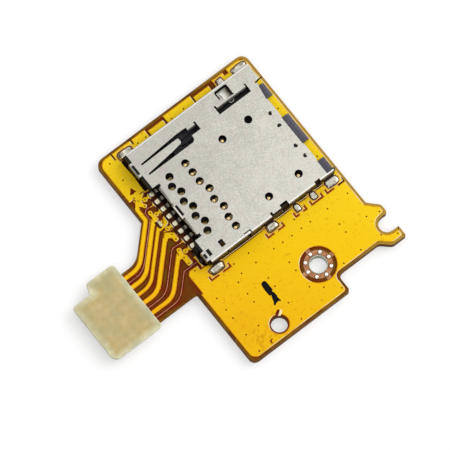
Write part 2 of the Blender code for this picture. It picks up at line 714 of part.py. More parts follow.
def shell_place(x, y, depth):
    """Where a point of the flat blank ends up in the folded cover."""
    z = COVER_Z - depth
    beyond = abs(y) - FOLD_Y
    if beyond > 0:
        side = math.copysign(1, y)
        if beyond <= WALL_LENGTH:
            out, down = fold(beyond, depth, BEND_RADIUS)
            return x, side * (FOLD_Y + out), COVER_Z - down
        turn = min((beyond - WALL_LENGTH) / (FOOT_BEND * math.pi / 2), 1) * math.pi / 2
        radius = FOOT_BEND + depth
        run = max(beyond - WALL_LENGTH - FOOT_BEND * math.pi / 2, 0)
        out = FOOT_BEND - radius * math.cos(turn) + run
        down = WALL_DROP + radius * math.sin(turn)
        return x, side * (HALF_WIDTH + out), COVER_Z - down
    for y0, y1, edge, _ in REAR_FLAPS:
        distance = edge + FLAP_BEND - x
        if y0 - 0.01 < y < y1 + 0.01 and distance > 0:
            out, down = fold(distance, depth, FLAP_BEND)
            return edge + FLAP_BEND - out, y, COVER_Z - down
    for x0, x1 in GUIDE_FLAPS:
        distance = FLAP_LINE_Y - y
        if x0 - 0.01 < x < x1 + 0.01 and 0 < distance < GUIDE_FLAP_LENGTH + 0.01:
            out, down = fold(distance, depth, FLAP_BEND)
            return x, FLAP_LINE_Y - out, COVER_Z - down
    if TONGUE_ROOT_X < x < TONGUE_TIP_X + 0.01 and 3.80 < y < 4.95:
        drop = UNDER_COVER_Z - PIN_Z - PIN_DIAMETER / 2 - FIT
        slope = drop / (PIN_END[0] - TONGUE_ROOT_X)
        return x, y, z - slope * (x - TONGUE_ROOT_X)
    x0, x1, y0, y1 = LATCH_TAB
    if x0 - 0.01 < x < x1 + 0.01 and y0 < y < y1 + 0.01:
        return x, y, z - LATCH_SLOPE * (y - y0)
    return x, y, z


def make_shell():
    """The steel cover, stamped and folded from one sheet."""
    steel = material("stainless steel cover", "#CBC7BE", 0.36, 0.85)
    wall_y = FOLD_Y + WALL_LENGTH
    foot_y = wall_y + FOOT_BEND * math.pi / 2 + FOOT_LENGTH - FOOT_BEND
    mouth = HALF_LENGTH - 0.73
    first, last = TAIL_FIRST_Y, TAIL_LAST_Y
    adds = [[
        (-HALF_LENGTH, -wall_y), (HALF_LENGTH, -wall_y), (HALF_LENGTH, -FOLD_Y), (mouth, -FOLD_Y),
        (mouth, -4.85), (mouth + 0.1, -4.75), (mouth + 0.1, -2.85), (mouth, -2.75),
        (mouth, 0.50), (mouth + 0.1, 0.60), (mouth + 0.1, 2.70), (mouth, 2.80), (mouth + 0.22, 4.15),
        (mouth + 0.34, 4.60), (mouth + 0.12, 4.66), (mouth + 0.12, 4.78), (HALF_LENGTH, 4.78),
        (HALF_LENGTH, wall_y), (-HALF_LENGTH, wall_y), (-HALF_LENGTH, first + 0.09), (-6.45, first + 0.09),
        (-6.45, first - 0.21), (-6.56, first - 0.21), (-6.56, last + 0.27), (-6.45, last + 0.27),
        (-6.45, last - 0.08), (-HALF_LENGTH, last - 0.08),
    ]]
    for _, x0, x1, side in JOINTS:
        ends = max(x0 + 0.12, -HALF_LENGTH), min(x1 - 0.12, HALF_LENGTH)
        adds.append(rectangle(ends[0], side * (wall_y - 0.2), ends[1], side * foot_y))
    cuts, lines = [], []
    for y0, y1, edge, length in REAR_FLAPS:
        end = edge + FLAP_BEND - FLAP_BEND * math.pi / 2 - length
        adds.append(rectangle(end, y0, edge + 0.6, y1))
        slot = edge + FLAP_BEND - 0.07
        cuts.append(filleted([(slot, y0 + 0.25, 0.08), (slot + 0.26, y0 + 0.25, 0.08),
                              (slot + 0.26, y1 - 0.25, 0.08), (slot, y1 - 0.25, 0.08)], 2))
        for k in range(4):
            x = edge + FLAP_BEND - FLAP_BEND * math.pi / 2 * k / 3
            lines.append(((x, y0), (x, y1)))
    # Holes over the contact tips, over the contacts' roots, and four more
    for index in range(CONTACT_COUNT):
        cuts.append(circle(tip_place(index), HOLE_DIAMETER, 14))
        cuts.append(circle((ROOT_HOLES_X[index % 2], tail_y(index)), HOLE_DIAMETER, 14))
    for centre in LONE_HOLES:
        cuts.append(circle(centre, HOLE_DIAMETER, 14))
    for x, y, turn in HALF_ROUNDS:
        cuts.append(arc((x, y), HALF_ROUND_RADIUS, turn, turn + HALF_ROUND_ANGLE, 6))
    # Opening round the tongue, with its first guide flap
    relief = FLAP_LINE_Y + 0.15
    first, last = GUIDE_FLAPS[0]
    cuts.append([
        (-6.66, 3.64), (-1.50, 3.64), (-1.28, 3.76), (first, 4.00), (first, 4.25), (last + 0.18, 4.25),
        (last + 0.18, relief), (last, relief), (last, FLAP_LINE_Y), (first, FLAP_LINE_Y), (first, 5.22),
        (-2.20, 5.25), (-6.66, 4.98)])
    tip = TONGUE_TIP_X
    tabs = [[(-6.66, 3.81), (-3.6, 4.16), (tip - 0.12, 4.36), (tip, 4.46), (tip, 4.84),
             (tip - 0.1, 4.93), (-3.6, 4.91), (-6.66, 4.80)]]
    # Opening over the card's side, with its second guide flap
    first, last = GUIDE_FLAPS[1]
    cuts.append([(first - 0.18, 4.25), (last + 0.15, 4.25), (last + 0.15, relief), (last, relief),
                 (last, FLAP_LINE_Y), (first, FLAP_LINE_Y), (first, relief), (first - 0.18, relief)])
    for x0, x1 in GUIDE_FLAPS:
        tabs.append(rectangle(x0, FLAP_LINE_Y - GUIDE_FLAP_LENGTH, x1, FLAP_LINE_Y))
        for k in range(4):
            y = FLAP_LINE_Y - FLAP_BEND * math.pi / 2 * k / 3
            lines.append(((x0, y), (x1, y)))
    # Latch tab: a tongue bent down inside a slot of C shape
    x0, x1, y0, y1 = LATCH_TAB
    slot = LATCH_SLOT
    cuts.append(filleted([
        (x0 - slot, y0 + 0.1, 0), (x0, y0 + 0.1, 0), (x0, y1, 0.08), (x1, y1, 0.08), (x1, y0, 0),
        (x1 + slot, y0, 0), (x1 + slot, y1 + slot, 0.2), (x0 - slot, y1 + slot, 0.2)], 3))
    lines.append(((x0, y0 + 0.1), (x1, y0)))
    # Windows over the card switch, and slots and notches of the lower side down to its foot
    low_end = 0.22 - wall_y
    cuts += [rectangle(-7.08, -6.05, -6.73, -5.35), rectangle(-5.65, -6.05, -5.16, -5.35)]
    cuts += [
        rectangle(-5.42, low_end, -5.24, -FOLD_Y - 0.14),
        rectangle(-4.68, -FOLD_Y - 0.22, -2.90, -FOLD_Y - 0.12),
        rectangle(-3.00, low_end, -2.60, -FOLD_Y - 0.18),
        [(-3.23, -6.35), (-3.23, -6.25), (-2.48, -6.25), (-2.48, -6.75), (-2.60, -6.75), (-2.60, -6.35)],
        [(-0.13, -6.20), (0.12, -6.20), (0.12, -6.45), (1.07, -6.45), (1.07, -6.12), (1.90, -6.12),
         (1.90, low_end), (1.07, low_end), (1.07, -6.85), (-0.13, -6.75)],
        rectangle(5.02, low_end, 5.62, -6.35),
    ]
    # Score the folds of both sides and of the feet
    for side in (-1, 1):
        for k in range(4):
            y = side * (FOLD_Y + BEND_RADIUS * math.pi / 2 * k / 3)
            lines.append(((-HALF_LENGTH, y), (HALF_LENGTH, y)))
        for k in range(3):
            y = side * (wall_y + FOOT_BEND * math.pi / 2 * k / 2)
            lines.append(((-HALF_LENGTH, y), (HALF_LENGTH, y)))
    blank = sheet(adds, cuts, tabs, lines)
    add_piece("socket_shell", thicken(blank, shell_place, SHELL_THICK, 0), steel)


def make_solder():
    """Solder fillets over the cover's feet, each with a concave outer slope."""
    solder = material("solder", "#D9DADB", 0.28, 1.0)
    foot_top = SEAT_Z + SHELL_THICK + LAYER_GAP
    tip = FOOT_LENGTH + FIT
    inner = FOOT_BEND + FIT
    for name, x0, x1, side in JOINTS:
        rings = []
        sections = ((x0, 0.25), (x0 + 0.06, 0.8), (x0 + 0.16, 1),
                    (x1 - 0.16, 1), (x1 - 0.06, 0.8), (x1, 0.25))
        for x, swell in sections:
            outline = [(inner, foot_top), (tip, foot_top), (tip, SEAT_Z), (tip + 0.30 * swell, SEAT_Z),
                       (tip + 0.20 * swell, SEAT_Z + 0.08 * swell + 0.02),
                       (tip, foot_top + 0.02 + 0.05 * swell), (0.28, foot_top + 0.02 + 0.12 * swell),
                       (inner, foot_top + 0.02 + 0.20 * swell)]
            rings.append([(x, side * (HALF_WIDTH + v), z) for v, z in outline])
        add_piece(name, loft(rings), solder)


# Socket inside

def contact_path(index, room=0.0):
    """Path of one contact: soldered tail, run through the floor, and the sprung beam to its tip."""
    tail = tail_y(index)
    tip_x, tip = tip_place(index)
    width = CONTACT_WIDTH + 2 * room
    foot = CONTACT_FOOT_Z
    run = CONTACT_RUN_Z
    peak = FLOOR_Z + CONTACT_LIFT - CONTACT_THICK
    return [
        ((-7.67, tail, foot), width), ((-7.10, tail, foot), width), ((-6.88, tail, run), width),
        ((-5.35, tail, run), width), ((-4.45, tip, run), width),
        ((-4.20, tip, run), width), ((tip_x - 0.25, tip, peak - 0.02), width - 0.06),
        ((tip_x, tip, peak + 0.06), width - 0.08), ((tip_x + 0.20, tip, peak), width - 0.1),
        ((tip_x + 0.42, tip, peak - 0.16), width - 0.12),
    ]


def make_contacts():
    """The eight spring contacts and the two terminals of the card switch."""
    gold = material("gold plated bronze", "#D9BE7A", 0.3, 1.0)
    for index in range(CONTACT_COUNT):
        add_piece(f"contact_{index + 1}", strip(contact_path(index), CONTACT_THICK), gold)
    for name, path in SWITCH_PATHS.items():
        add_piece(name, strip([(point, SWITCH_WIDTH) for point in path], CONTACT_THICK), gold)


def make_base():
    """The moulded housing: one block with the card's bed, the ejector's channel and the slots cut in."""
    black = material("black liquid crystal polymer", "#1B1A1C", 0.5)
    top = UNDER_COVER_Z - LAYER_GAP
    card_low, card_high = CARD_EDGE_Y - CARD_PLAY, CARD_SIDE_Y + CARD_PLAY
    narrow_high = NARROW_SIDE_Y + CARD_PLAY
    over = top + 0.1
    under = SEAT_Z - 0.1
    cam_front = SLIDER_REAR_X + CAM_LENGTH + 0.18
    channel_front = ARM_END_X + 0.10
    bed_front = HALF_LENGTH - 0.95
    outline = [
        (BASE_REAR, -BASE_SIDE), (BASE_FRONT, -BASE_SIDE), (BASE_FRONT, -4.72), (bed_front, -4.72),
        (bed_front, -2.47), (BASE_FRONT, -2.47), (BASE_FRONT, 0.68), (bed_front, 0.68),
        (bed_front, 3.03), (BASE_FRONT, 3.03), (BASE_FRONT, 4.48), (bed_front + 0.5, 4.48),
        (bed_front + 0.5, BASE_SIDE), (BASE_REAR, BASE_SIDE), (BASE_REAR, TAIL_FIRST_Y + 0.26),
        (TAIL_RECESS_X, TAIL_FIRST_Y + 0.26), (TAIL_RECESS_X, TAIL_LAST_Y - 0.20),
        (BASE_REAR, TAIL_LAST_Y - 0.20),
    ]
    body = plate(outline, SEAT_Z, top)
    pocket = (SWITCH_SPRING_Y - 0.23, STOP_TAIL_Y + 0.22)
    bed = [(REAR_STOP_X, card_low), (BASE_FRONT + 1, card_low), (BASE_FRONT + 1, card_high),
           (cam_front, card_high), (cam_front, narrow_high), (REAR_STOP_X, narrow_high)]
    channel = [(CHANNEL_REAR, narrow_high), (cam_front, narrow_high), (cam_front, card_high - 0.05),
               (channel_front, card_high - 0.05), (channel_front, CHANNEL_SIDE), (CHANNEL_REAR, CHANNEL_SIDE)]
    tools = [
        plate(bed, FLOOR_Z, over),
        plate(channel, CHANNEL_Z, over + 0.05),
        # Room for the end of the long guide flap
        block(channel_front - 0.1, card_high - 0.05, COVER_Z - FLAP_BEND - GUIDE_FLAP_LENGTH,
              GUIDE_FLAPS[1][1] + 0.05, FLAP_LINE_Y + FIT, over + 0.07),
        # Slot in which the wire swings, and the hole for its fixed end
        block(PIN_PIVOT[0] - 0.18, PIN_PIVOT[1] - 0.18, CAM_TOP_Z,
              CHANNEL_REAR + 0.1, PIN_PIVOT[1] + 0.32, over + 0.1),
        plate(circle(PIN_PIVOT, PIN_DIAMETER + 2 * FIT, 10), CHANNEL_Z, over + 0.12),
        # Pocket of the card switch
        block(-6.62, pocket[0], under, REAR_STOP_X + 0.1, pocket[1], over + 0.15),
        block(REAR_STOP_X - 0.02, pocket[0], under, -4.80, pocket[1], FLOOR_Z + 0.2),
    ]
    # Outer top edges, chamfered to clear the inside of the cover's bends
    for side in (-1, 1):
        edge = [(side * (BASE_SIDE - BEND_RADIUS / 2), top + 0.01), (side * (BASE_SIDE + 0.1), top + 0.01),
                (side * (BASE_SIDE + 0.1), top - BEND_RADIUS / 2 - 0.1)]
        tools.append(loft([[(x, y, z) for y, z in edge] for x in (BASE_REAR - 0.1, BASE_FRONT + 0.1)]))
    # Chamfered lead-in for the card along the front blocks
    for y0, y1 in ((card_low - 0.01, -4.72), (-2.47, 0.68), (3.03, 4.48)):
        slope = [(BASE_FRONT - 0.30, FLOOR_Z + 0.01), (BASE_FRONT + 0.1, FLOOR_Z - 0.15),
                 (BASE_FRONT + 0.1, FLOOR_Z + 0.01)]
        tools.append(loft([[(x, y, z) for x, z in slope] for y in (y0 - 0.05, y1 + 0.05)]))
    for index in range(CONTACT_COUNT):
        tip = tip_place(index)[1]
        window = rectangle(-4.32, tip - 0.29, -2.35, tip + 0.29)
        tools.append(plate(window, under, FLOOR_Z + 0.1))
        tools.append(strip(contact_path(index, FIT)[2:6], CONTACT_THICK + 2 * FIT))
        root = circle((ROOT_HOLES_X[index % 2], tail_y(index)), 0.62, 10)
        tools.append(plate(root, under, FLOOR_Z + 0.12))
    for path in SWITCH_PATHS.values():
        tools.append(strip([(point, SWITCH_WIDTH + 2 * FIT) for point in path[2:4]], CONTACT_THICK + 2 * FIT))
    body = cut(body, *tools)
    section = circle((SPRING_Y, SPRING_AXIS_Z), PEG_DIAMETER, 10)
    peg = loft([[(x, y, z) for y, z in section] for x in (CHANNEL_REAR - 0.1, CHANNEL_REAR + 0.45)])
    add_piece("socket_base", join(body, peg), black)


def make_slider(carriage):
    """The ejector slider: cam block with its heart groove, card pusher, spring trough and arm."""
    grey = material("grey liquid crystal polymer", "#4A4850", 0.48)
    low = CHANNEL_Z + FIT
    high = UNDER_COVER_Z - 0.05
    rear, front = SLIDER_REAR_X, SLIDER_REAR_X + CAM_LENGTH
    inner = NARROW_SIDE_Y + CARD_PLAY + 0.03
    tall = FLAP_LINE_Y + 0.15
    outer = CHANNEL_SIDE - 0.03
    arm_inner = outer - ARM_WIDTH
    cam = block(rear, inner, low, front, tall + 0.1, CAM_TOP_Z)
    trough_side = block(rear, tall, low, front, outer, high)
    arm = block(front - 0.1, arm_inner, low, ARM_END_X, outer, UNDER_COVER_Z - ARM_DROP)
    push_x = rear + PUSHER_SETBACK
    pusher = block(push_x, inner - PUSHER_REACH, FLOOR_Z + FIT, push_x + PUSHER_THICK, inner + 0.12, high)
    # The wire's end follows a straight lane to the far end, rests in the heart's notch, and
    # comes back by the other lane
    room = PIN_DIAMETER / 2 + 0.03
    start, finish = PIN_END, (PIN_END[0] + EJECT_STROKE, PIN_END[1] + PIN_SWING)
    outer_wall = filleted([
        (start[0] - room, start[1] - room - 0.22, 0.12), (finish[0] + room, start[1] - 0.62 + 0.02, 0.15),
        (finish[0] + room, finish[1] + room, 0.12), (start[0] - room, start[1] + room, 0.12)], 3)
    island = [(start[0] + 0.75, start[1] - 0.16), (finish[0] - 0.42, finish[1] - room - 0.03),
              (finish[0] - 0.64, finish[1] - room - 0.19), (finish[0] - 0.42, finish[1] - room - 0.35),
              (start[0] + 1.2, start[1] - 0.27)]
    groove = plate(outer_wall, CAM_TOP_Z - GROOVE_DEPTH, high + 0.1, [island])
    half = SPRING_DIAMETER / 2 + 0.03
    trough = block(rear - 0.1, SPRING_Y - half, low + 0.06, front - 0.22, SPRING_Y + half, high + 0.1)
    leaf_slot = block(0.75, arm_inner - 0.1, FLOOR_Z, 2.80, arm_inner + 0.12, FLOOR_Z + 0.34)
    solid = cut(join(cam, trough_side, arm, pusher), groove, trough, leaf_slot)
    add_piece("ejector_slider", solid, grey, (rear, SPRING_Y, low), carriage)

    steel = material("spring steel", "#B9B7B2", 0.3, 1.0)
    back = arm_inner + LEAF_THICK / 2 + 0.015
    level = FLOOR_Z + 0.17
    route = ((0.80, back), (2.50, back), (2.85, back - 0.14), (3.45, 5.10), (3.87, 4.70), (4.10, 4.70),
             (4.55, 5.12))
    leaf = strip([((x, y, level), LEAF_WIDTH) for x, y in route], LEAF_THICK, Vector((0, 0, 1)))
    add_piece("card_lock_leaf", leaf, steel, (rear, SPRING_Y, low), carriage)


def make_pin_and_spring(pivot):
    """The cam wire on its pivot, and the coil spring between the base and the slider."""
    steel = material("spring steel", "#B9B7B2", 0.3, 1.0)
    drop = CAM_TOP_Z - GROOVE_DEPTH + 0.04
    bend = 0.14
    ahead = (Vector(PIN_END) - Vector(PIN_PIVOT)).normalized()

    def at(distance, z):
        return (PIN_PIVOT[0] + ahead.x * distance, PIN_PIVOT[1] + ahead.y * distance, z)

    length = (Vector(PIN_END) - Vector(PIN_PIVOT)).length
    path = [at(0, CHANNEL_Z + 0.05), at(0, PIN_Z - bend), at(0.04, PIN_Z - 0.04), at(bend, PIN_Z),
            at(length - bend, PIN_Z), at(length - 0.04, PIN_Z - 0.04),
            at(length, PIN_Z - bend), at(length, drop)]
    add_piece("cam_pin", wire(path, PIN_DIAMETER), steel, (*PIN_PIVOT, PIN_Z), pivot)

    start = CHANNEL_REAR + FIT + SPRING_WIRE / 2
    end = SLIDER_REAR_X + CAM_LENGTH - 0.22 - FIT - SPRING_WIRE / 2
    coil = (SPRING_DIAMETER - SPRING_WIRE) / 2
    steps = SPRING_TURNS * 10
    path = []
    for i in range(steps + 1):
        share = i / steps
        along = start + (end - start) * min(max((share - 0.06) / 0.88, 0), 1)
        angle = 2 * math.pi * SPRING_TURNS * share
        path.append((along, SPRING_Y + coil * math.cos(angle), SPRING_AXIS_Z + coil * math.sin(angle)))
    add_piece("ejector_spring", wire(path, SPRING_WIRE, 5), steel)


def empty(name, place):
    """An empty that carries the pieces of one joint."""
    carrier = bpy.data.objects.new(name, None)
    carrier.empty_display_size = 2 * MM
    carrier.location = Vector(place) * MM
    bpy.context.collection.objects.link(carrier)
    return carrier


def main():
    """Clear the scene and model every piece."""
    for old in list(bpy.data.objects):
        bpy.data.objects.remove(old)
    carriage = empty("ejector_axis", (SLIDER_REAR_X, SPRING_Y, SPRING_AXIS_Z))
    pivot = empty("cam_pin_axis", (*PIN_PIVOT, PIN_Z))
    bpy.context.view_layer.update()
    make_board()
    make_tracks()
    make_tail_plug()
    make_base()
    make_shell()
    make_solder()
    make_contacts()
    make_slider(carriage)
    make_pin_and_spring(pivot)


main()
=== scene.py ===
"""Looks of a push-push card socket on its flexible circuit, laid out as a Blender add-on.

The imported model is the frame. Flat plates of the frame keep their shape and get a finish; stamped
and cut pieces get copies with worked edges; solder, vias, spring and printed marks are new surfaces.
Sizes are in metres, +X runs out of the card mouth and +Z up.
"""

import math

import bmesh
import bpy
import numpy as np
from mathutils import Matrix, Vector


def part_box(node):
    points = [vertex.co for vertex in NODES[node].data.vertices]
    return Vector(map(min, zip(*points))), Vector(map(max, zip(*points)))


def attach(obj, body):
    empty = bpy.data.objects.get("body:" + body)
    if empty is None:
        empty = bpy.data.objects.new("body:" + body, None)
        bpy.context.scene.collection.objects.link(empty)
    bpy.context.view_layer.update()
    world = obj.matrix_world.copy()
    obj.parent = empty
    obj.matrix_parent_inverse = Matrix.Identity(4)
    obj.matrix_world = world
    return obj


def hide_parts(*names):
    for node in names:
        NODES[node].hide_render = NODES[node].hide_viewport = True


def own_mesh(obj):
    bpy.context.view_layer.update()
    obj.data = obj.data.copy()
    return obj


bl_info = {
    "name": "Card socket on a flexible circuit",
    "version": (1, 0, 0),
    "blender": (4, 5, 0),
    "location": "View3D > Sidebar > Card socket",
    "description": "Finishes and fine pieces of a push-push card socket, with its stage",
    "category": "Add Mesh",
}

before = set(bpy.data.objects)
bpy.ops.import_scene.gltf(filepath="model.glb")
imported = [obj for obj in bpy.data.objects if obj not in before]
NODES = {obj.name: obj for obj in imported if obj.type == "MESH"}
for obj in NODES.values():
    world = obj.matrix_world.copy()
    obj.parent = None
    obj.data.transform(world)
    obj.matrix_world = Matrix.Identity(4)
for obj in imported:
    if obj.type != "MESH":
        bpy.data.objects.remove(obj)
MM = 0.001
SEAT_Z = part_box("socket_base")[0].z
COPPER_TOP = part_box("ground_copper")[1].z
FILM_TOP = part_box("flex_film")[1].z
COVER_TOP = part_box("socket_shell")[1].z


# Colour, nodes and meshes

def linear(text):
    """Linear red, green and blue of an sRGB hex colour."""
    parts = np.array([int(text[i:i + 2], 16) / 255 for i in (1, 3, 5)])
    return np.where(parts <= 0.04045, parts / 12.92, ((parts + 0.055) / 1.055) ** 2.4).tolist()


def rgba(text):
    """Linear colour with full cover, as a shader's socket takes it."""
    return (*linear(text), 1.0)


def join(tree, node, inputs):
    """Set a node's inputs, by their names or in their order, each from a value, an output, or a
    node, whose first live output is meant."""
    for key, value in inputs.items() if isinstance(inputs, dict) else enumerate(inputs):
        if isinstance(value, bpy.types.Node):
            value = next(output for output in value.outputs if output.enabled)
        if isinstance(value, bpy.types.NodeSocket):
            tree.links.new(value, node.inputs[key])
        else:
            node.inputs[key].default_value = value


def add(tree, kind, inputs=(), stops=(), **settings):
    """Add one node with its settings, its inputs as join takes them, and a colour ramp's stops, each
    a place and a hex colour."""
    node = tree.nodes.new(kind)
    for key, value in settings.items():
        setattr(node, key, value)
    for _ in stops[2:]:
        node.color_ramp.elements.new(0.5)
    for number, (place, text) in enumerate(stops):
        element = node.color_ramp.elements[number]
        element.position, element.color = place, rgba(text)
    join(tree, node, inputs)
    return node


def new_finish(name, **sockets):
    """A material with its tree and Principled shader, the plain sockets set."""
    made = bpy.data.materials.new(name)
    made.use_nodes = True
    shader = made.node_tree.nodes["Principled BSDF"]
    for key, value in sockets.items():
        shader.inputs[key.replace("_", " ")].default_value = value
    return made, made.node_tree, shader


def axes(tree):
    """Object coordinates of the surface: the place, then its x, y and z apart."""
    place = add(tree, "ShaderNodeTexCoord").outputs["Object"]
    return place, *add(tree, "ShaderNodeSeparateXYZ", {"Vector": place}).outputs


def blotches(tree, size, detail=3.0, stretch=(1, 1, 1)):
    """Factor of a cloudy noise whose blotches are about size mm across. It keeps nearly all its
    values between 0.3 and 0.7."""
    place = add(tree, "ShaderNodeTexCoord").outputs["Object"]
    turned = add(tree, "ShaderNodeMapping", {"Vector": place, "Scale": stretch})
    return add(tree, "ShaderNodeTexNoise", {"Vector": turned, "Scale": 1 / (size * MM), "Detail": detail,
                                            "Roughness": 0.6})


def two_tone(tree, size, dark, light):
    """Colour that drifts between two near tones in blotches of a size in mm."""
    return add(tree, "ShaderNodeValToRGB", [blotches(tree, size)], [(0.35, dark), (0.65, light)])


def surface(tree, shader, colour, rough=None, height=None, depth=0.0):
    """Give the shader its colour; its roughness, as a noise with its lowest and highest value; and
    a bump that is depth mm deep, of a height factor."""
    join(tree, shader, {"Base Color": colour})
    if rough:
        noise, low, high = rough
        join(tree, shader, {"Roughness": add(tree, "ShaderNodeMapRange", (noise, 0.3, 0.7, low, high))})
    if height:
        bump = add(tree, "ShaderNodeBump", {"Height": height, "Distance": depth * MM, "Strength": 1.0})
        join(tree, shader, {"Normal": bump})


def quads(rows, columns, close_rows=False, close_columns=True):
    """Index quads of a grid of rows by columns, joined round where closed."""
    i = np.arange(rows if close_rows else rows - 1)[:, None]
    k = np.arange(columns if close_columns else columns - 1)[None, :]
    i_next, k_next = (i + 1) % rows, (k + 1) % columns
    corners = (i * columns + k, i * columns + k_next, i_next * columns + k_next, i_next * columns + k)
    return np.stack([np.broadcast_to(c, (i.size, k.size)) for c in corners], -1).reshape(-1, 4)


def fans(count, first, pole, turned=False):
    """Triangles from a pole to a ring of count points that starts at index first."""
    k = np.arange(count)
    ring = (first + k, first + (k + 1) % count)
    if turned:
        ring = ring[::-1]
    return np.stack([np.full(count, pole), *ring], -1)


def outward(points, faces):
    """Faces of a closed surface, turned round if its volume comes out negative.

    The volume is a sixth of the sum, over the triangles that fan out from each face's first corner,
    of that corner's dot product with the cross product of the other two.
    """
    centred = points - points.mean(axis=0)
    volume = 0.0
    for group in faces:
        corner = centred[group]
        for k in range(1, group.shape[1] - 1):
            volume += np.sum(corner[:, 0] * np.cross(corner[:, k], corner[:, k + 1]))
    return faces if volume > 0 else [group[:, ::-1] for group in faces]


def merge(parts):
    """Points and faces of several surfaces as one list each."""
    points, faces, start = [], [], 0
    for some_points, some_faces in parts:
        points.append(some_points)
        faces += [(group + start).tolist() for group in outward(some_points, some_faces)]
        start += len(some_points)
    return np.concatenate(points), [face for group in faces for face in group]


def add_piece(name, surfaces, finish, body="board", sharp=40):
    """Make one object of closed surfaces, each a pair of points in metres and groups of faces."""
    points, faces = merge(surfaces)
    mesh = bpy.data.meshes.new(name)
    mesh.from_pydata(points.tolist(), [], faces)
    mesh.materials.append(finish)
    mesh.shade_smooth()
    mesh.set_sharp_from_angle(angle=math.radians(sharp))
    piece = bpy.data.objects.new(name, mesh)
    bpy.context.collection.objects.link(piece)
    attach(piece, body)
    return piece


def give(finish, *names):
    """Give CAD nodes a finish."""
    for name in names:
        NODES[name].data.materials.clear()
        NODES[name].data.materials.append(finish)


def worked_copy(node, width, face_finish, edge_finish, body="board"):
    """A copy of a CAD node with its sharp edges rounded off, the rounding in a finish of its own."""
    work = bmesh.new()
    work.from_mesh(NODES[node].data)
    bmesh.ops.remove_doubles(work, verts=work.verts, dist=2e-7)
    bmesh.ops.dissolve_limit(work, angle_limit=math.radians(0.6), verts=work.verts, edges=work.edges)
    mesh = bpy.data.meshes.new(node + "_worked")
    work.to_mesh(mesh)
    work.free()
    mesh.shade_smooth()
    mesh.set_sharp_from_angle(angle=math.radians(32))
    holder = bpy.data.objects.new(node + "_worked", mesh)
    bpy.context.collection.objects.link(holder)
    mesh.materials.clear()
    mesh.materials.append(face_finish)
    mesh.materials.append(edge_finish)
    mesh.polygons.foreach_set("material_index", np.zeros(len(mesh.polygons), np.int32))
    bevel = holder.modifiers.new("worked edges", "BEVEL")
    bevel.width = width
    bevel.segments = 2
    bevel.limit_method = "ANGLE"
    bevel.angle_limit = math.radians(50)
    bevel.material = 1
    bevel.use_clamp_overlap = True
    # Large flat faces keep their own normal, so that they don't shade as if they were bent
    flat = holder.modifiers.new("flat faces", "WEIGHTED_NORMAL")
    flat.mode = "FACE_AREA"
    flat.weight = 100
    flat.keep_sharp = True
    shaped = bpy.data.meshes.new_from_object(holder.evaluated_get(bpy.context.evaluated_depsgraph_get()))
    holder.modifiers.clear()
    holder.data = shaped
    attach(holder, body)
    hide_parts(node)
    return holder


def outlines(node):
    """Closed outlines of a flat CAD plate's top, each an array of x and y with its metal on the left.

    A side of one top triangle that no other top triangle shares is on the outline, and the sides
    are chained end to start.
    """
    mesh = NODES[node].data
    points = np.zeros(len(mesh.vertices) * 3)
    mesh.vertices.foreach_get("co", points)
    points = points.reshape(-1, 3)
    corners = np.zeros(len(mesh.polygons) * 3, int)
    mesh.polygons.foreach_get("vertices", corners)
    corners = corners.reshape(-1, 3)
    top = np.all(points[corners][:, :, 2] > points[:, 2].max() - 2e-6, axis=1)
    keys = np.round(points[:, :2] / 5e-7).astype(int)
    _, first, index = np.unique(keys, axis=0, return_index=True, return_inverse=True)
    triangles = index.reshape(-1)[corners[top]]
    spots = points[first][:, :2]
    sides = [tuple(pair) for a, b in ((0, 1), (1, 2), (2, 0)) for pair in triangles[:, [a, b]].tolist()]
    known = set(sides)
    following = {a: b for a, b in sides if (b, a) not in known}
    loops = []
    while following:
        start, here = following.popitem()
        loop = [start]
        while here != start and here in following:
            loop.append(here)
            here = following.pop(here)
        loops.append(spots[loop])
    return loops


def carried(path, profile):
    """A closed profile of (reach, level) pairs carried along a closed path in the plane.

    Each point of the path moves out along its mitre, which is the mean of the two side normals
    divided by the cosine of half the turn, times the reach; the level becomes z.
    """
    ahead = np.roll(path, -1, axis=0) - path
    ahead /= np.linalg.norm(ahead, axis=1)[:, None] + 1e-12
    normal = np.stack([ahead[:, 1], -ahead[:, 0]], -1)
    mean = normal + np.roll(normal, 1, axis=0)
    length = np.linalg.norm(mean, axis=1)[:, None]
    mitre = mean / np.maximum(length, 1e-9) * np.minimum(2 / np.maximum(length, 1e-9), 1.8)
    reach, level = np.array(profile).T
    flat = path[:, None, :] + mitre[:, None, :] * reach[None, :, None]
    points = np.concatenate([flat, np.broadcast_to(level[None, :, None], (len(path), len(profile), 1))], -1)
    return points.reshape(-1, 3), [quads(len(path), len(profile), True)]


def turned(centre, profile, sides=24):
    """A profile of (radius, level) pairs turned round a vertical axis: x and y are the radius times
    the cosine and sine of the angle. It runs from a pole at the top to a pole underneath."""
    radius, level = np.array(profile).T
    angle = np.linspace(0, 2 * np.pi, sides, endpoint=False)
    rings = np.stack([centre[0] + radius[1:-1, None] * np.cos(angle),
                      centre[1] + radius[1:-1, None] * np.sin(angle),
                      centre[2] + np.broadcast_to(level[1:-1, None], (len(profile) - 2, sides))], -1)
    poles = np.array([[centre[0], centre[1], centre[2] + end] for end in (level[0], level[-1])])
    points = np.concatenate([rings.reshape(-1, 3), poles])
    count = (len(profile) - 2) * sides
    return points, [quads(len(profile) - 2, sides)[:, ::-1], fans(sides, 0, count),
                    fans(sides, count - sides, count + 1, True)]


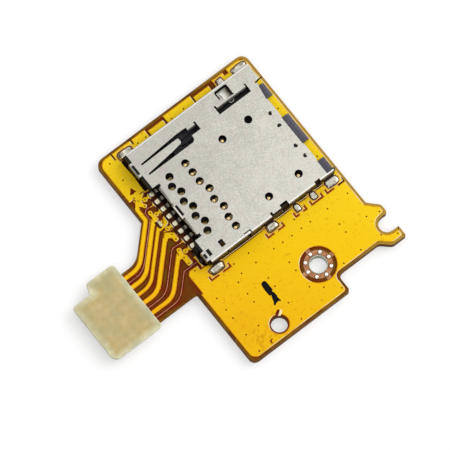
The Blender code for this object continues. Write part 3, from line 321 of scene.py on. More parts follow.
def mound(centre, half, height, wall_side=0, lean=0.0, power=3.0, seed=0.0, rings=12, sides=40):
    """A heap of solder on a rounded-square footprint, closed underneath.

    With r from 0 in the middle to 1 on the rim of the footprint, a point's height is the whole height
    times one less a power of r. The power grows from the given one on the open side to 9 against a
    wall, and the whole height by lean times the square of the nearness to the wall.
    """
    t, rim = footprint(half, seed, sides)
    r = np.linspace(0, 1, rings + 1)[1:, None]
    x, y = rim[:, 0] * r, rim[:, 1] * r
    s = np.sin(t)
    against = 0.5 - 0.5 * s * wall_side if wall_side else np.zeros_like(t)
    steep = power + (9 - power) * against
    near = np.clip(0.5 - 0.5 * wall_side * y / half[1], 0, 1) if wall_side else np.zeros_like(y)
    z = (height + lean * near ** 2 + 0.006 * MM * np.sin(7 * t + seed)) * (1 - r ** steep)
    top = np.stack([centre[0] + x, centre[1] + y, centre[2] + z], -1)
    middle = height + (lean * 0.25 if wall_side else 0)
    points = np.concatenate([top.reshape(-1, 3), [[centre[0], centre[1], centre[2] + middle]],
                             [[centre[0], centre[1], centre[2] - 0.002 * MM]]])
    count = rings * sides
    return points, [quads(rings, sides), fans(sides, 0, count), fans(sides, count - sides, count + 1, True)]


def footprint(half, seed, sides, grow=0.0):
    """Angles and points round a superellipse, on which the fourth powers of x and of y, each over its
    half width, add up to one; the radius is multiplied by one plus a slow wobble of sines, and each
    half width grown by a margin."""
    t = np.linspace(0, 2 * np.pi, sides, endpoint=False)
    c, s = np.cos(t), np.sin(t)
    size = (np.abs(c) ** 4 + np.abs(s) ** 4) ** -0.25
    size = size * (1 + 0.035 * np.sin(3 * t + seed) + 0.025 * np.sin(5 * t + 2.1 * seed))
    return t, np.stack([(half[0] + grow) * size * c, (half[1] + grow) * size * s], -1)


def flat_mark(outline, low, high):
    """A thin closed layer of ink or film: an outline at two levels, with its sides."""
    path = np.array(outline)
    count = len(path)
    points = np.concatenate([np.column_stack([path, np.full(count, level)]) for level in (low, high)])
    ring = np.arange(count)
    return points, [quads(2, count), ring[::-1][None, :], (ring + count)[None, :]]


def ribbon(line, widths, low, high):
    """A thin closed layer along an open line: each edge lies half the width to the side of the
    line, along the normal of its tangent."""
    ahead = np.gradient(line, axis=0)
    ahead /= np.linalg.norm(ahead, axis=1)[:, None]
    normal = np.stack([-ahead[:, 1], ahead[:, 0]], -1) * np.asarray(widths)[:, None] / 2
    return flat_mark(np.concatenate([line - normal, (line + normal)[::-1]]), low, high)


def lit_lines(path, facing, width, reach, low, high):
    """Ribbons beside the stretches of a closed path that face a direction of the plane.

    A side's share is its outward normal's dot product with the direction, less 0.2 and over 0.5,
    held between 0 and 1; stretches of sides with a share are chained, and the line is read off at
    even steps reach outside the path. The width is multiplied by the lesser share of the two sides
    that meet at a point, by a rise over the first and last 0.15 mm, and by a slow sine.
    """
    ahead = np.roll(path, -1, axis=0) - path
    length = np.linalg.norm(ahead, axis=1)
    normal = np.stack([ahead[:, 1], -ahead[:, 0]], -1) / (length[:, None] + 1e-12)
    share = np.clip((normal @ np.array(facing) - 0.2) / 0.5, 0, 1)
    lit = np.flatnonzero(share > 0.05)
    if not len(lit) or len(lit) == len(path):
        return []
    # Start the round just after a gap, then cut it where the numbering jumps
    first = np.flatnonzero(share <= 0.05)[0]
    order = (np.arange(len(path)) + first) % len(path)
    sides = order[share[order] > 0.05]
    runs = np.split(sides, np.flatnonzero(np.diff((sides - first) % len(path)) > 1) + 1)
    made = []
    for run in runs:
        if length[run].sum() < 0.12 * MM:
            continue
        stops = np.append(run, (run[-1] + 1) % len(path))
        outwards = normal[np.append(run, run[-1])] + normal[np.append(run[0], run)]
        outwards /= np.linalg.norm(outwards, axis=1)[:, None]
        shares = np.minimum(share[np.append(run, run[-1])], share[np.append(run[0], run)])
        line = path[stops] + outwards * reach
        gone = np.append(0, np.cumsum(np.linalg.norm(np.diff(line, axis=0), axis=1)))
        at = np.linspace(0, gone[-1], max(6, int(gone[-1] / (0.1 * MM))))
        line = np.stack([np.interp(at, gone, line[:, axis]) for axis in (0, 1)], -1)
        ends = np.clip(np.minimum(at, gone[-1] - at) / (0.15 * MM), 0.3, 1)
        shares = np.interp(at, gone, shares) * ends * (0.85 + 0.4 * np.sin(line @ np.array([1.9, 2.6]) / MM))
        made.append(ribbon(line, shares * width, low, high))
    return made


def capsule(start, end, width, count=12):
    """Outline round a straight stretch of copper with half-round ends: the points at half the width
    from the end over the half turn ahead, then from the start over the half turn behind."""
    start, end = np.array(start), np.array(end)
    heading = math.atan2(*(end - start)[::-1])
    t = np.linspace(-np.pi / 2, np.pi / 2, count)
    half_round = [np.stack([np.cos(t + turn), np.sin(t + turn)], -1) * width / 2
                  for turn in (heading, heading + np.pi)]
    return np.concatenate([end + half_round[0], start + half_round[1]])


def flared(spot, radius, reach=0.42, flare=0.31):
    """Outline of a round pad that ends in a flare: the circle but for 0.6 rad on either side of +x,
    then a neck of half the radius, which widens to the flare by the fourth power of the way out."""
    t = np.linspace(0.6, 2 * np.pi - 0.6, 22)
    circle = radius * np.stack([np.cos(t), np.sin(t)], -1)
    way = np.linspace(0.35, 1, 6)
    side = 0.5 * radius + (flare - 0.5 * radius) * way ** 4
    edge = np.stack([reach * way + 0.4 * radius, side], -1)
    return np.concatenate([circle, edge * (1, -1), edge[::-1]]) + spot


def coil(start, end, centre, radius, wire, turns, sides=12):
    """A coil spring: the wire's middle goes round the x axis at the coil's radius while x moves on,
    more slowly over the closed end turns; its section is a circle in the plane of axis and spoke."""
    share = np.linspace(0, 1, turns * 24 + 1)
    along = start + (end - start) * np.clip((share - 0.06) / 0.88, 0, 1)
    angle = 2 * np.pi * turns * share
    spoke = np.stack([np.zeros_like(angle), np.cos(angle), np.sin(angle)], -1)
    middle = np.stack([along, *(np.full_like(along, place) for place in centre)], -1) + spoke * radius
    t = np.linspace(0, 2 * np.pi, sides, endpoint=False)
    axis = np.array([1.0, 0, 0])
    ring = spoke[:, None, :] * np.cos(t)[None, :, None] + axis * np.sin(t)[None, :, None]
    points = (middle[:, None, :] + ring * wire / 2).reshape(-1, 3)
    count = len(points)
    points = np.concatenate([points, middle[[0, -1]]])
    faces = [quads(len(share), sides), fans(sides, 0, count, True), fans(sides, count - sides, count + 1)]
    return points, faces


# Sizes and colours that a user would change

class BoardSettings(bpy.types.PropertyGroup):
    """Colours of the circuit board and sizes of its fine marks."""
    copper: bpy.props.StringProperty(name="Copper", description="Copper seen through the yellow cover film",
                                     default="#FBCB08")
    bare_film: bpy.props.StringProperty(name="Bare film", description="Film with no copper under it",
                                        default="#664800")
    margin: bpy.props.StringProperty(name="Margin", description="Bare margin along the cut edge",
                                     default="#875E10")
    margin_width: bpy.props.FloatProperty(name="Margin width", description="Width of the bare margin",
                                          default=0.24 * MM, unit="LENGTH")
    shoulder: bpy.props.FloatProperty(name="Shoulder", default=0.06 * MM, unit="LENGTH",
                                      description="Width of the film's slope over a copper edge")
    skirt: bpy.props.FloatProperty(name="Adhesive", default=0.13 * MM, unit="LENGTH",
                                   description="Width of the red adhesive beside a copper edge")
    dot: bpy.props.FloatProperty(name="Via dot", description="Diameter of the small filled vias",
                                 default=0.16 * MM, unit="LENGTH")


class CoverSettings(bpy.types.PropertyGroup):
    """Finish of the stamped cover."""
    steel: bpy.props.StringProperty(name="Steel", description="Colour of the satin steel", default="#C9C7BE")
    roughness: bpy.props.FloatProperty(name="Roughness", description="Blur of the steel's reflections",
                                       default=0.42, min=0, max=1, subtype="FACTOR")
    edge_round: bpy.props.FloatProperty(name="Edge rounding", description="Rounding of the sheared edges",
                                        default=0.022 * MM, unit="LENGTH")


class SolderSettings(bpy.types.PropertyGroup):
    """Shape of the solder joints."""
    height: bpy.props.FloatProperty(name="Height", description="Height of a joint over its pad",
                                    default=0.20 * MM, unit="LENGTH")
    climb: bpy.props.FloatProperty(name="Climb", description="How far solder climbs the cover's wall",
                                   default=0.16 * MM, unit="LENGTH")
    rim: bpy.props.FloatProperty(name="Rim", description="Width of the dark flux round a joint",
                                 default=0.07 * MM, unit="LENGTH")


class MouldingSettings(bpy.types.PropertyGroup):
    """Colours of the moulded pieces."""
    dark: bpy.props.StringProperty(name="Housing", description="Colour inside the housing", default="#0D0C0E")
    # The mouth colour is a painted sheen on the black blocks at the card mouth
    mouth: bpy.props.StringProperty(name="Mouth", description="Colour of the blocks at the card mouth",
                                    default="#5A5763")


class StageSettings(bpy.types.PropertyGroup):
    """Camera, lamps and floor."""
    distance: bpy.props.FloatProperty(name="Distance", description="Camera's distance",
                                      default=0.56, unit="LENGTH")
    azimuth: bpy.props.FloatProperty(name="Azimuth", description="Direction the camera stands in",
                                     default=math.radians(-38), subtype="ANGLE")
    elevation: bpy.props.FloatProperty(name="Elevation", description="Camera's angle above the floor",
                                       default=math.radians(74.35), subtype="ANGLE")
    view_width: bpy.props.FloatProperty(name="View width", description="Width that the picture shows",
                                        default=41.94 * MM, unit="LENGTH")
    sky: bpy.props.FloatProperty(name="Sky", default=0.95, min=0,
                                 description="Strength of the sky's brightest part on matt surfaces")
    key: bpy.props.FloatProperty(name="Key lamp", description="Light that the key lamp gives head on",
                                 default=0.40, min=0)
    fill: bpy.props.FloatProperty(name="Fill lamp", description="Light that the fill lamp gives head on",
                                  default=0.18, min=0)


SETTINGS = {
    "socket_board": BoardSettings,
    "socket_cover": CoverSettings,
    "socket_solder": SolderSettings,
    "socket_moulding": MouldingSettings,
    "socket_stage": StageSettings,
}

# Soldered joints of the cover: the side of the cover they stand on, and whether the solder hides the foot
COVER_JOINTS = {
    "solder_rear_low": (-1, True),
    "solder_middle_low": (-1, True),
    "solder_small_low": (-1, False),
    "solder_front_low": (-1, False),
    "solder_mouth_low": (-1, False),
    "solder_rear_high": (1, True),
    "solder_front_high": (1, False),
    "solder_mouth_high": (1, False),
}
# Solder on the contacts' tails, in millimetres: the first heap's place, and the pitch
TAIL_FIRST = (-7.40, 2.36)
TAIL_PITCH = 0.897
TRACKS = [f"track_{number}" for number in range(1, 9)]
FINE_TRACKS = ["track_2", "track_6", "track_8"]
CONTACTS = [f"contact_{number}" for number in range(1, 9)]
PLUG_LEADS = [f"plug_contact_{number}" for number in range(1, 11)] + ["plug_nail_low", "plug_nail_high"]

# Filled vias that show as small dark dots, in millimetres
VIA_DOTS = [
    (-5.53, -8.85), (-3.83, -8.85), (-1.68, -8.83), (-0.63, -8.85), (0.42, -8.88), (1.57, -8.85),
    (2.62, -8.87), (4.67, -8.87), (7.07, -8.83), (-8.83, -9.33), (-6.28, -9.35), (-5.53, -7.7),
    (-3.8, -7.72), (1.57, -7.77), (-8.83, -10.74), (-6.3, -10.75), (-3.83, -10.74), (-1.36, -10.75),
    (4.62, -10.73), (-8.83, -11.74), (-6.3, -11.73), (-3.83, -11.74), (-1.36, -11.75), (4.62, -11.7),
    (7.07, -11.7), (-8.83, -13.77), (-7.38, -13.78), (-3.83, -13.76), (-1.34, -13.76), (2.6, -13.96),
    (4.66, -13.92), (7.07, -13.94), (8.32, -12.06), (8.37, -14.77), (-0.3, -14.62), (-8.83, -15.77),
    (-3.84, -15.74), (0.98, -15.7), (-8.7, 7.12), (-8.7, 5.09), (-5.4, 7.1), (-4.45, 7.12), (-1.43, 7.05),
    (0.05, 7.12), (7.07, 1.68), (7.07, -4.26), (-8.64, 2.78), (-8.81, -5.97),
]
# Copper between the contact row and the tracks: outlines in millimetres
BRANCHES = [
    [(-9.02, 3.03), (-9.0, 2.75), (-9.08, 2.52), (-9.3, 2.3), (-9.16, 2.1), (-8.95, 2.0), (-8.87, 1.86),
     (-8.8, 1.71), (-8.65, 1.64), (-8.5, 1.7), (-8.43, 1.85), (-8.48, 2.0), (-8.6, 2.1), (-8.58, 2.3),
     (-8.5, 2.5), (-8.35, 2.64), (-8.15, 2.74), (-7.98, 2.88), (-7.96, 3.03)],
    [(-8.65, 1.24), (-8.8, 1.18), (-8.87, 1.02), (-8.83, 0.85), (-8.78, 0.6), (-8.86, 0.35), (-9.02, 0.12),
     (-8.9, -0.02), (-8.5, -0.02), (-8.36, 0.12), (-8.44, 0.35), (-8.52, 0.6), (-8.5, 0.82), (-8.43, 1.0),
     (-8.5, 1.18)],
    [(-7.86, -0.02), (-8.0, -0.06), (-8.12, -0.3), (-8.33, -0.58), (-8.62, -0.78), (-8.55, -0.93),
     (-8.2, -0.9), (-7.95, -0.82), (-7.86, -0.7)],
    [(-8.8, -1.36), (-9.05, -1.62), (-8.95, -1.85), (-8.75, -2.05), (-8.55, -2.12), (-8.52, -2.6),
     (-8.43, -2.68), (-8.14, -2.68), (-8.06, -2.6), (-8.03, -2.2), (-8.06, -1.88), (-8.3, -1.66),
     (-8.6, -1.46)],
    [(-8.75, -3.26), (-8.92, -3.33), (-8.99, -3.5), (-9.0, -3.75), (-9.1, -4.0), (-9.0, -4.2),
     (-9.0, -5.16), (-8.92, -5.26), (-8.53, -5.26), (-8.45, -5.16), (-8.46, -4.3), (-8.6, -4.12),
     (-8.6, -3.9), (-8.55, -3.7), (-8.5, -3.5), (-8.58, -3.33)],
    [(-8.13, -4.88), (-8.05, -5.2), (-8.07, -5.6), (-8.05, -5.9), (-8.12, -6.12), (-7.86, -6.12),
     (-7.92, -5.9), (-7.94, -5.6), (-7.92, -5.2), (-7.86, -4.88)],
]
# Round via pads that end in a flare at the contact row, and the flares of the fine tracks
VIA_PADS = [(-8.25, 2.33), (-8.28, 0.55), (-8.30, -1.20), (-8.32, -3.93)]
FLARES = [(-8.30, 1.44), (-8.30, -3.04)]
# Where those outlines run into the tracks, copper covers the joint: both ends and the width
BRIDGES = [
    ((-9.36, 2.12), (-8.95, 2.58), 0.34), ((-8.62, 2.7), (-8.56, 3.2), 0.56),
    ((-8.72, 0.3), (-9.12, -0.08), 0.34), ((-8.5, -0.83), (-8.92, -0.88), 0.2),
    ((-8.74, -1.62), (-9.1, -1.95), 0.34), ((-8.84, -3.86), (-9.14, -4.16), 0.34),
]
# Vias in those pads and outlines
BRANCH_DOTS = VIA_PADS + [
    (-8.65, 1.87), (-8.64, 1.0), (-8.34, -1.88), (-8.32, -2.47), (-8.76, -3.5), (-8.8, -4.34), (-8.8, -5.05),
]
# The screw hole in millimetres: its middle and radius, and how far out its ring of vias lies
SCREW = (0.65, -12.57)
SCREW_HOLE = 0.90
SCREW_VIAS_OUT = 1.22

# The stage, in metres: floor, lamps with their places and widths, and the way to the sky's brightest part
FLOOR_REACH = 3.0
FLOOR_GLOW = 0.46
LAMPS = {"key": ((0.78, -0.14, 0.64), 0.85), "fill": ((-0.45, -0.40, 0.80), 0.6)}
SKY_WAY = (0.60, 0.16, 0.785)
# The middle of the picture on the board, in millimetres, and the way across the board to its
# right-hand side, where the light comes from
VIEW_CENTRE = (-4.10, -4.52)
TO_LIGHT = (0.788, -0.616)
# On the board, in millimetres: where the coating is smudged most, and the size along x and y of the
# corner that is cut out of the cream plate
SMUDGED = (-7.6, -15.4)
PLATE_CUT = (2.33, 1.05)

# Outlines in millimetres of the openings and marks beside the holes
POINTER = [(-8.6, 4.08), (-9.1, 3.52), (-8.32, 3.3)]
PEN = [
    (-4.57, -10.72), (-4.73, -10.78), (-4.79, -11.0), (-4.83, -11.5), (-4.82, -11.94), (-4.8, -12.17),
    (-4.65, -12.21), (-4.78, -12.57), (-4.87, -12.88), (-5.03, -13.11), (-4.98, -13.23), (-4.78, -13.13),
    (-4.51, -13.06), (-4.36, -13.13), (-4.33, -13.27), (-4.23, -13.11), (-4.29, -12.81), (-4.24, -12.45),
    (-4.26, -12.13), (-4.36, -11.95), (-4.2, -11.87), (-4.2, -11.38), (-4.21, -10.94), (-4.29, -10.73),
    (-4.42, -10.68),
]
SLIT_DARK = [
    (-5.03, -13.64), (-4.88, -13.8), (-5.11, -14.0), (-5.38, -14.16), (-5.6, -13.99), (-5.38, -13.8),
]
SLIT_PALE = [
    (-4.88, -13.8), (-4.7, -13.93), (-4.89, -14.14), (-5.19, -14.3), (-5.38, -14.16), (-5.11, -14.0),
]
NICK = [
    (-7.1, -15.52), (-7.15, -15.63), (-7.33, -15.68), (-7.4, -15.96), (-7.49, -15.83), (-7.46, -15.57),
    (-7.29, -15.54),
]
# Painted shadow beside the solder dab on the middle track, and by the switch
DAB_SHADOW = [(-8.93, 0.06), (-8.98, -0.3), (-8.92, -0.66), (-8.74, -0.84), (-8.6, -0.72), (-8.66, -0.1)]
SWITCH_SHADOW = [
    (-7.98, -4.2), (-8.02, -4.9), (-7.86, -5.1), (-7.9, -5.95), (-7.7, -6.3), (-7.1, -6.3), (-7.0, -4.12),
    (-7.7, -4.12),
]
# Beside the low wall the film ends: a brown gap, a painted highlight on the film's lit edge, and a painted
# shadow under the wall's edge, each with y, width and finish
WALL_LINES = {
    "wall_gap": (-6.79, 0.11, "window in the copper"),
    "wall_bead": (-6.715, 0.05, "lit slope of the film"),
    "wall_painted_shadow": (-6.62, 0.14, "painted shadow sheet"),
}
# On the cover: corners of the bent tab, a painted shade stroke for the gap at the mouth's corner, a painted
# highlight along the sheared edge of the middle flap, and the lips over the contact row, with their ends
# along y, root, reach and drop
TAB = [(3.34, 5.84), (4.24, 6.06), (4.42, 5.04), (3.37, 5.13)]
CORNER_SHADE = [(6.67, 4.62), (7.06, 4.73), (7.55, 4.74)]
FLAP_HIGHLIGHT = [(-6.785, -0.18), (-6.785, -0.9), (-6.785, -1.6)]
LIPS = ((-3.66, -1.70), (0.08, 2.14))
LIP_ROOT, LIP_REACH, LIP_DROP = -6.54, 0.26, 0.148


# Finishes. A Map Range node takes a value, where it starts and ends, and what comes out there

def painted_tab_finish():
    """The same steel on the bent tab, with painted light and shade: a painted highlight, white at its root,
    and painted shade, nearly black at the end that faces away.
    """
    made, tree, shader = new_finish("bent steel tab with painted light and shade", Metallic=0.9, Roughness=0.3)
    _, x, _, _ = axes(tree)
    wobble = add(tree, "ShaderNodeMath", (blotches(tree, 0.25), 0.3 * MM, x), operation="MULTIPLY_ADD")
    ends = [corner[0] for corner in TAB]
    share = add(tree, "ShaderNodeMapRange", (wobble, min(ends) * MM, (max(ends) + 0.1) * MM))
    surface(tree, shader, add(tree, "ShaderNodeValToRGB", [share], [
        (0.1, "#F2F0EA"), (0.35, "#D8D5CC"), (0.6, "#8A857A"), (0.85, "#1C1916")]))
    return made


def steel_finish(cover):
    """Rolled stainless steel, stamped and left satin: soft pale reflections, speckled by the grain of
    the rolls and faintly stained green and pink where it was washed."""
    made, tree, shader = new_finish("satin stainless steel", Metallic=0.92)
    _, x, y, z = axes(tree)
    speck = blotches(tree, 0.13, 2)
    tone = add(tree, "ShaderNodeMath", (blotches(tree, 2.2, 2), 0.35, speck), operation="MULTIPLY_ADD")
    # Painted shade: the steel is coloured darker away from the mouth's right corner, towards the rear and the
    # high side, as if the light fell off across the sheet
    across = add(tree, "ShaderNodeMath", (x, y), operation="SUBTRACT")
    lean = add(tree, "ShaderNodeMapRange", (across, -8 * MM, 10 * MM, -0.30, 0.0))
    tone = add(tree, "ShaderNodeMath", (tone, lean), operation="ADD")
    share = add(tree, "ShaderNodeMapRange", (tone, 0.3, 0.7, -0.2, 0.9))
    base = np.array(linear(cover.steel))
    colour = add(tree, "ShaderNodeMix", {"Factor": share, "A": (*(base * 0.90), 1), "B": (*(base * 1.26), 1)},
                 data_type="RGBA")
    stain = add(tree, "ShaderNodeValToRGB", [blotches(tree, 0.7)],
                [(0.36, "#FAF2F2"), (0.5, "#FFFFFF"), (0.64, "#F1F7F0")])
    colour = add(tree, "ShaderNodeMix", {"Factor": 0.65, "A": colour, "B": stain},
                 data_type="RGBA", blend_type="MULTIPLY")
    # Painted dark reflection and shade: below the face, the low wall faces are coloured dark brown, nearly
    # black beside the face. They lie between 6.35 and 6.8 mm from the middle line, and behind 6.85 mm at the
    # rear
    aside = add(tree, "ShaderNodeMath", [y], operation="ABSOLUTE")
    sides = add(tree, "ShaderNodeValToRGB", [add(tree, "ShaderNodeMapRange", (aside, 6.3 * MM, 6.9 * MM))],
                [(0.1, "#000000"), (0.2, "#FFFFFF"), (0.75, "#FFFFFF"), (0.9, "#000000")])
    rear = add(tree, "ShaderNodeMapRange", (x, -6.85 * MM, -6.95 * MM))
    shaded_wall_mask = add(tree, "ShaderNodeMath", (sides, rear), operation="MAXIMUM")
    low = add(tree, "ShaderNodeMapRange", (z, COVER_TOP - 0.2 * MM, COVER_TOP - 0.06 * MM, 1, 0))
    brown = add(tree, "ShaderNodeMath", (low, shaded_wall_mask), operation="MULTIPLY")
    colour = add(tree, "ShaderNodeMix", {"Factor": brown, "A": colour, "B": rgba("#3E2E22")},
                 data_type="RGBA")
    # Painted highlight: a near-white line along the bends, where the face turns down
    bend = add(tree, "ShaderNodeValToRGB", [add(tree, "ShaderNodeMapRange", (aside, 6.4 * MM, 6.6 * MM))],
               [(0.2, "#000000"), (0.4, "#FFFFFF"), (0.65, "#FFFFFF"), (0.85, "#000000")])
    high = add(tree, "ShaderNodeMapRange", (z, COVER_TOP - 0.12 * MM, COVER_TOP - 0.06 * MM))
    painted_bend_highlight = add(tree, "ShaderNodeMath", (bend, high), operation="MULTIPLY")
    colour = add(tree, "ShaderNodeMix", {"Factor": painted_bend_highlight, "A": colour, "B": rgba("#FFFEFA")},
                 data_type="RGBA")
    # Grain of the rolled sheet, 0.05 mm, drawn coarser than real so that it shows
    grain = blotches(tree, 0.05, 3, (1, 0.35, 1))
    surface(tree, shader, colour, (grain, cover.roughness - 0.05, cover.roughness + 0.07), speck, 0.0008)
    return made


def sheared_finish():
    """Sheared edge of the same steel: burnished by the punch, so it shines and mirrors light and dark."""
    made, tree, shader = new_finish("sheared steel edge", Metallic=0.95)
    tone = add(tree, "ShaderNodeValToRGB", [blotches(tree, 0.25)], [(0.4, "#C9C4B8"), (0.6, "#F4F0E8")])
    surface(tree, shader, tone, (blotches(tree, 0.08), 0.18, 0.32))
    return made


def film_finish(name, light, dark, size=1.2, gloss=0.36, level=0.04, turning=None):
    """Polyimide film laminated with adhesive: smooth amber, its tone uneven with the adhesive under
    it. The print paste is matt, so it mirrors less than bare film would. With turning, a start and
    an end along x in mm and a colour, the tone turns to that colour between the two."""
    made, tree, shader = new_finish(name, IOR=1.7, Specular_IOR_Level=level)
    tone = two_tone(tree, size, dark, light)
    if turning:
        start, end, colour = turning
        share = add(tree, "ShaderNodeMapRange", (axes(tree)[1], start * MM, end * MM))
        tone = add(tree, "ShaderNodeMix", {"Factor": share, "A": tone, "B": rgba(colour)}, data_type="RGBA")
    surface(tree, shader, tone, (blotches(tree, 0.3), gloss, gloss + 0.12), blotches(tree, 0.6, 2), 0.002)
    return made


def copper_finish(board):
    """Copper under yellow cover film: an even golden yellow with painted shade, a deeper orange towards the
    tail and the rear, with small scuffs."""
    made, tree, shader = new_finish("copper under cover film", IOR=1.7, Specular_IOR_Level=0.05)
    place, x, y, _ = axes(tree)
    # Painted shade: the yellow deepens to orange where x plus y is low, towards the tail and the rear
    slope = add(tree, "ShaderNodeMath", (x, y), operation="ADD")
    share = add(tree, "ShaderNodeMapRange", (slope, -20 * MM, 4 * MM))
    cloud = add(tree, "ShaderNodeMath", (blotches(tree, 1.5), 0.2, share), operation="MULTIPLY_ADD")
    tone = add(tree, "ShaderNodeValToRGB", [cloud],
               [(0.0, "#EAAA10"), (0.10, "#F6BE08"), (0.5, board.copper), (1.0, "#FFD81C")])
    # Scuffs of the coating, a tenth of a millimetre, a little browner
    scuff = add(tree, "ShaderNodeValToRGB", [blotches(tree, 0.22, 4)], [(0.24, "#D9C8A0"), (0.34, "#FFFFFF")])
    # Finger marks, most of all near the lower corner, a few tenths of a millimetre, browner
    near = add(tree, "ShaderNodeVectorMath", (place, (SMUDGED[0] * MM, SMUDGED[1] * MM, COPPER_TOP)),
               operation="DISTANCE")
    corner = add(tree, "ShaderNodeMapRange", (near, 0.3 * MM, 2.0 * MM, 0.16, 0.0))
    dirty = add(tree, "ShaderNodeMath", (blotches(tree, 0.32), corner), operation="ADD")
    smudge = add(tree, "ShaderNodeValToRGB", [dirty], [(0.60, "#FFFFFF"), (0.70, "#C9A870")])
    for strength, marks in ((0.6, scuff), (0.45, smudge)):
        tone = add(tree, "ShaderNodeMix", {"Factor": strength, "A": tone, "B": marks},
                   data_type="RGBA", blend_type="MULTIPLY")
    # Film pressed over etched copper: a faint orange peel
    surface(tree, shader, tone, (blotches(tree, 0.25), 0.3, 0.44), blotches(tree, 0.35, 2), 0.002)
    return made


def depth_inside(tree, x, y, low, high):
    """Distance inwards from the sides of a rectangle: the least of the gaps to its four sides."""
    least = None
    for place, a, b in ((x, low[0], high[0]), (y, low[1], high[1])):
        for ends in ((place, a), (b, place)):
            gap = add(tree, "ShaderNodeMath", ends, operation="SUBTRACT")
            least = add(tree, "ShaderNodeMath", (least, gap), operation="MINIMUM") if least else gap
    return least


def plate_finish():
    """Glass epoxy laminate, unplated: beige resin over the crossed threads of its glass cloth, greener
    and paler along the cut edges, where light enters from the side."""
    made, tree, shader = new_finish("glass epoxy plate", IOR=1.55, Specular_IOR_Level=0.25, Roughness=0.5)
    place, x, y, _ = axes(tree)
    low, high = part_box("tail_stiffener")
    # The plate is two rectangles: its body, and the part that reaches up beside the corner cut-out
    body = depth_inside(tree, x, y, (low.x, low.y), (high.x, high.y - PLATE_CUT[1] * MM))
    tab = depth_inside(tree, x, y, (low.x + PLATE_CUT[0] * MM, low.y), (high.x, high.y))
    depth = add(tree, "ShaderNodeMath", (body, tab), operation="MAXIMUM")
    ragged = add(tree, "ShaderNodeMath", (blotches(tree, 0.5), 0.5 * MM, depth), operation="MULTIPLY_ADD")
    share = add(tree, "ShaderNodeMapRange", (ragged, 0.3 * MM, 0.95 * MM))
    beige = add(tree, "ShaderNodeValToRGB", [blotches(tree, 0.9, 4)],
                [(0.32, "#BCAE78"), (0.5, "#C8B27A"), (0.68, "#D4BC84")])
    edge = two_tone(tree, 0.35, "#D6D4AC", "#E8E4C4")
    colour = add(tree, "ShaderNodeMix", {"Factor": share, "A": edge, "B": beige}, data_type="RGBA")
    # Grey-green clouds, where the resin is thinner
    cloud = add(tree, "ShaderNodeMapRange", (blotches(tree, 2.4), 0.42, 0.66, 0, 0.7))
    colour = add(tree, "ShaderNodeMix", {"Factor": cloud, "A": colour, "B": rgba("#B5B088")},
                 data_type="RGBA")
    # The cloth's threads lie 0.42 mm apart. They are drawn twice as coarse, so that they show: a wave
    # takes about 0.31 of a unit at a scale of 1, which comes to 0.82 mm here
    waves = [add(tree, "ShaderNodeTexWave", {"Vector": place, "Scale": 1 / (0.42 * MM * 6.2),
                                             "Distortion": 2.6, "Detail": 2.0, "Detail Scale": 1.5},
                 bands_direction=way).outputs["Fac"] for way in ("X", "Y")]
    cloth = add(tree, "ShaderNodeMath", waves, operation="MULTIPLY")
    thread = add(tree, "ShaderNodeValToRGB", [cloth], [(0.0, "#FFFFFF"), (0.8, "#FAF7F1")])
    colour = add(tree, "ShaderNodeMix", {"Factor": 0.8, "A": colour, "B": thread},
                 data_type="RGBA", blend_type="MULTIPLY")
    surface(tree, shader, colour, None, cloth, 0.002)
    return made


def plain_finish(name, dark, light, size, rough, metallic=0.0, depth=0.002, **sockets):
    """A moulded, plated or drawn finish: two near tones in blotches of a size in mm, and fine relief."""
    made, tree, shader = new_finish(name, Metallic=metallic, **sockets)
    surface(tree, shader, two_tone(tree, size, dark, light), (blotches(tree, size * 0.4), *rough),
            blotches(tree, size * 0.5, 2), depth)
    return made


def housing_finish(moulding):
    """Glass-filled liquid crystal polymer, moulded: matt black, with a painted sheen that makes the open
    blocks at the mouth paler."""
    made, tree, shader = new_finish("black liquid crystal polymer", IOR=1.6, Specular_IOR_Level=0.2)
    # Painted sheen: beyond 5.9 mm along x the black turns to the paler mouth colour
    share = add(tree, "ShaderNodeMapRange", (axes(tree)[1], 5.9 * MM, 6.6 * MM))
    dark = two_tone(tree, 0.3, moulding.dark, "#151316")
    pale = two_tone(tree, 0.3, "#4E4B57", moulding.mouth)
    colour = add(tree, "ShaderNodeMix", {"Factor": share, "A": dark, "B": pale}, data_type="RGBA")
    # Texture of the mould, 0.04 mm grains
    surface(tree, shader, colour, (blotches(tree, 0.1), 0.42, 0.58), blotches(tree, 0.04, 2), 0.002)
    return made


def contact_finish():
    """Copper alloy leads, gold over nickel at the spring, tinned at the tail: a pale solder-wetted tail, then
    painted shade, dark brown where the tail rises to the housing and nearly black under the cover's rear
    edge, a paler band between them, then the plating."""
    made, tree, shader = new_finish("gold over nickel with painted shade")
    _, x, _, _ = axes(tree)
    wobble = add(tree, "ShaderNodeMath", (blotches(tree, 0.12), 0.08 * MM, x), operation="MULTIPLY_ADD")
    share = add(tree, "ShaderNodeMapRange", (wobble, -7.7 * MM, -6.2 * MM))
    tone = add(tree, "ShaderNodeValToRGB", [share], [
        (0.0, "#EFE9D8"), (0.29, "#E4DCC2"), (0.33, "#2A1608"), (0.47, "#1C0E06"), (0.50, "#EADFC8"),
        (0.60, "#CABFA8"), (0.66, "#0E0A06"), (0.9, "#0E0A06"), (1.0, "#FFE4A4")])
    # The painted shade is no metal
    metal = add(tree, "ShaderNodeValToRGB", [share], [
        (0.29, "#FFFFFF"), (0.33, "#000000"), (0.47, "#000000"), (0.50, "#FFFFFF"), (0.90, "#FFFFFF"),
        (0.97, "#666666")])
    join(tree, shader, {"Metallic": metal})
    surface(tree, shader, tone, (blotches(tree, 0.1), 0.2, 0.34))
    return made


# Operators, one for each group of pieces

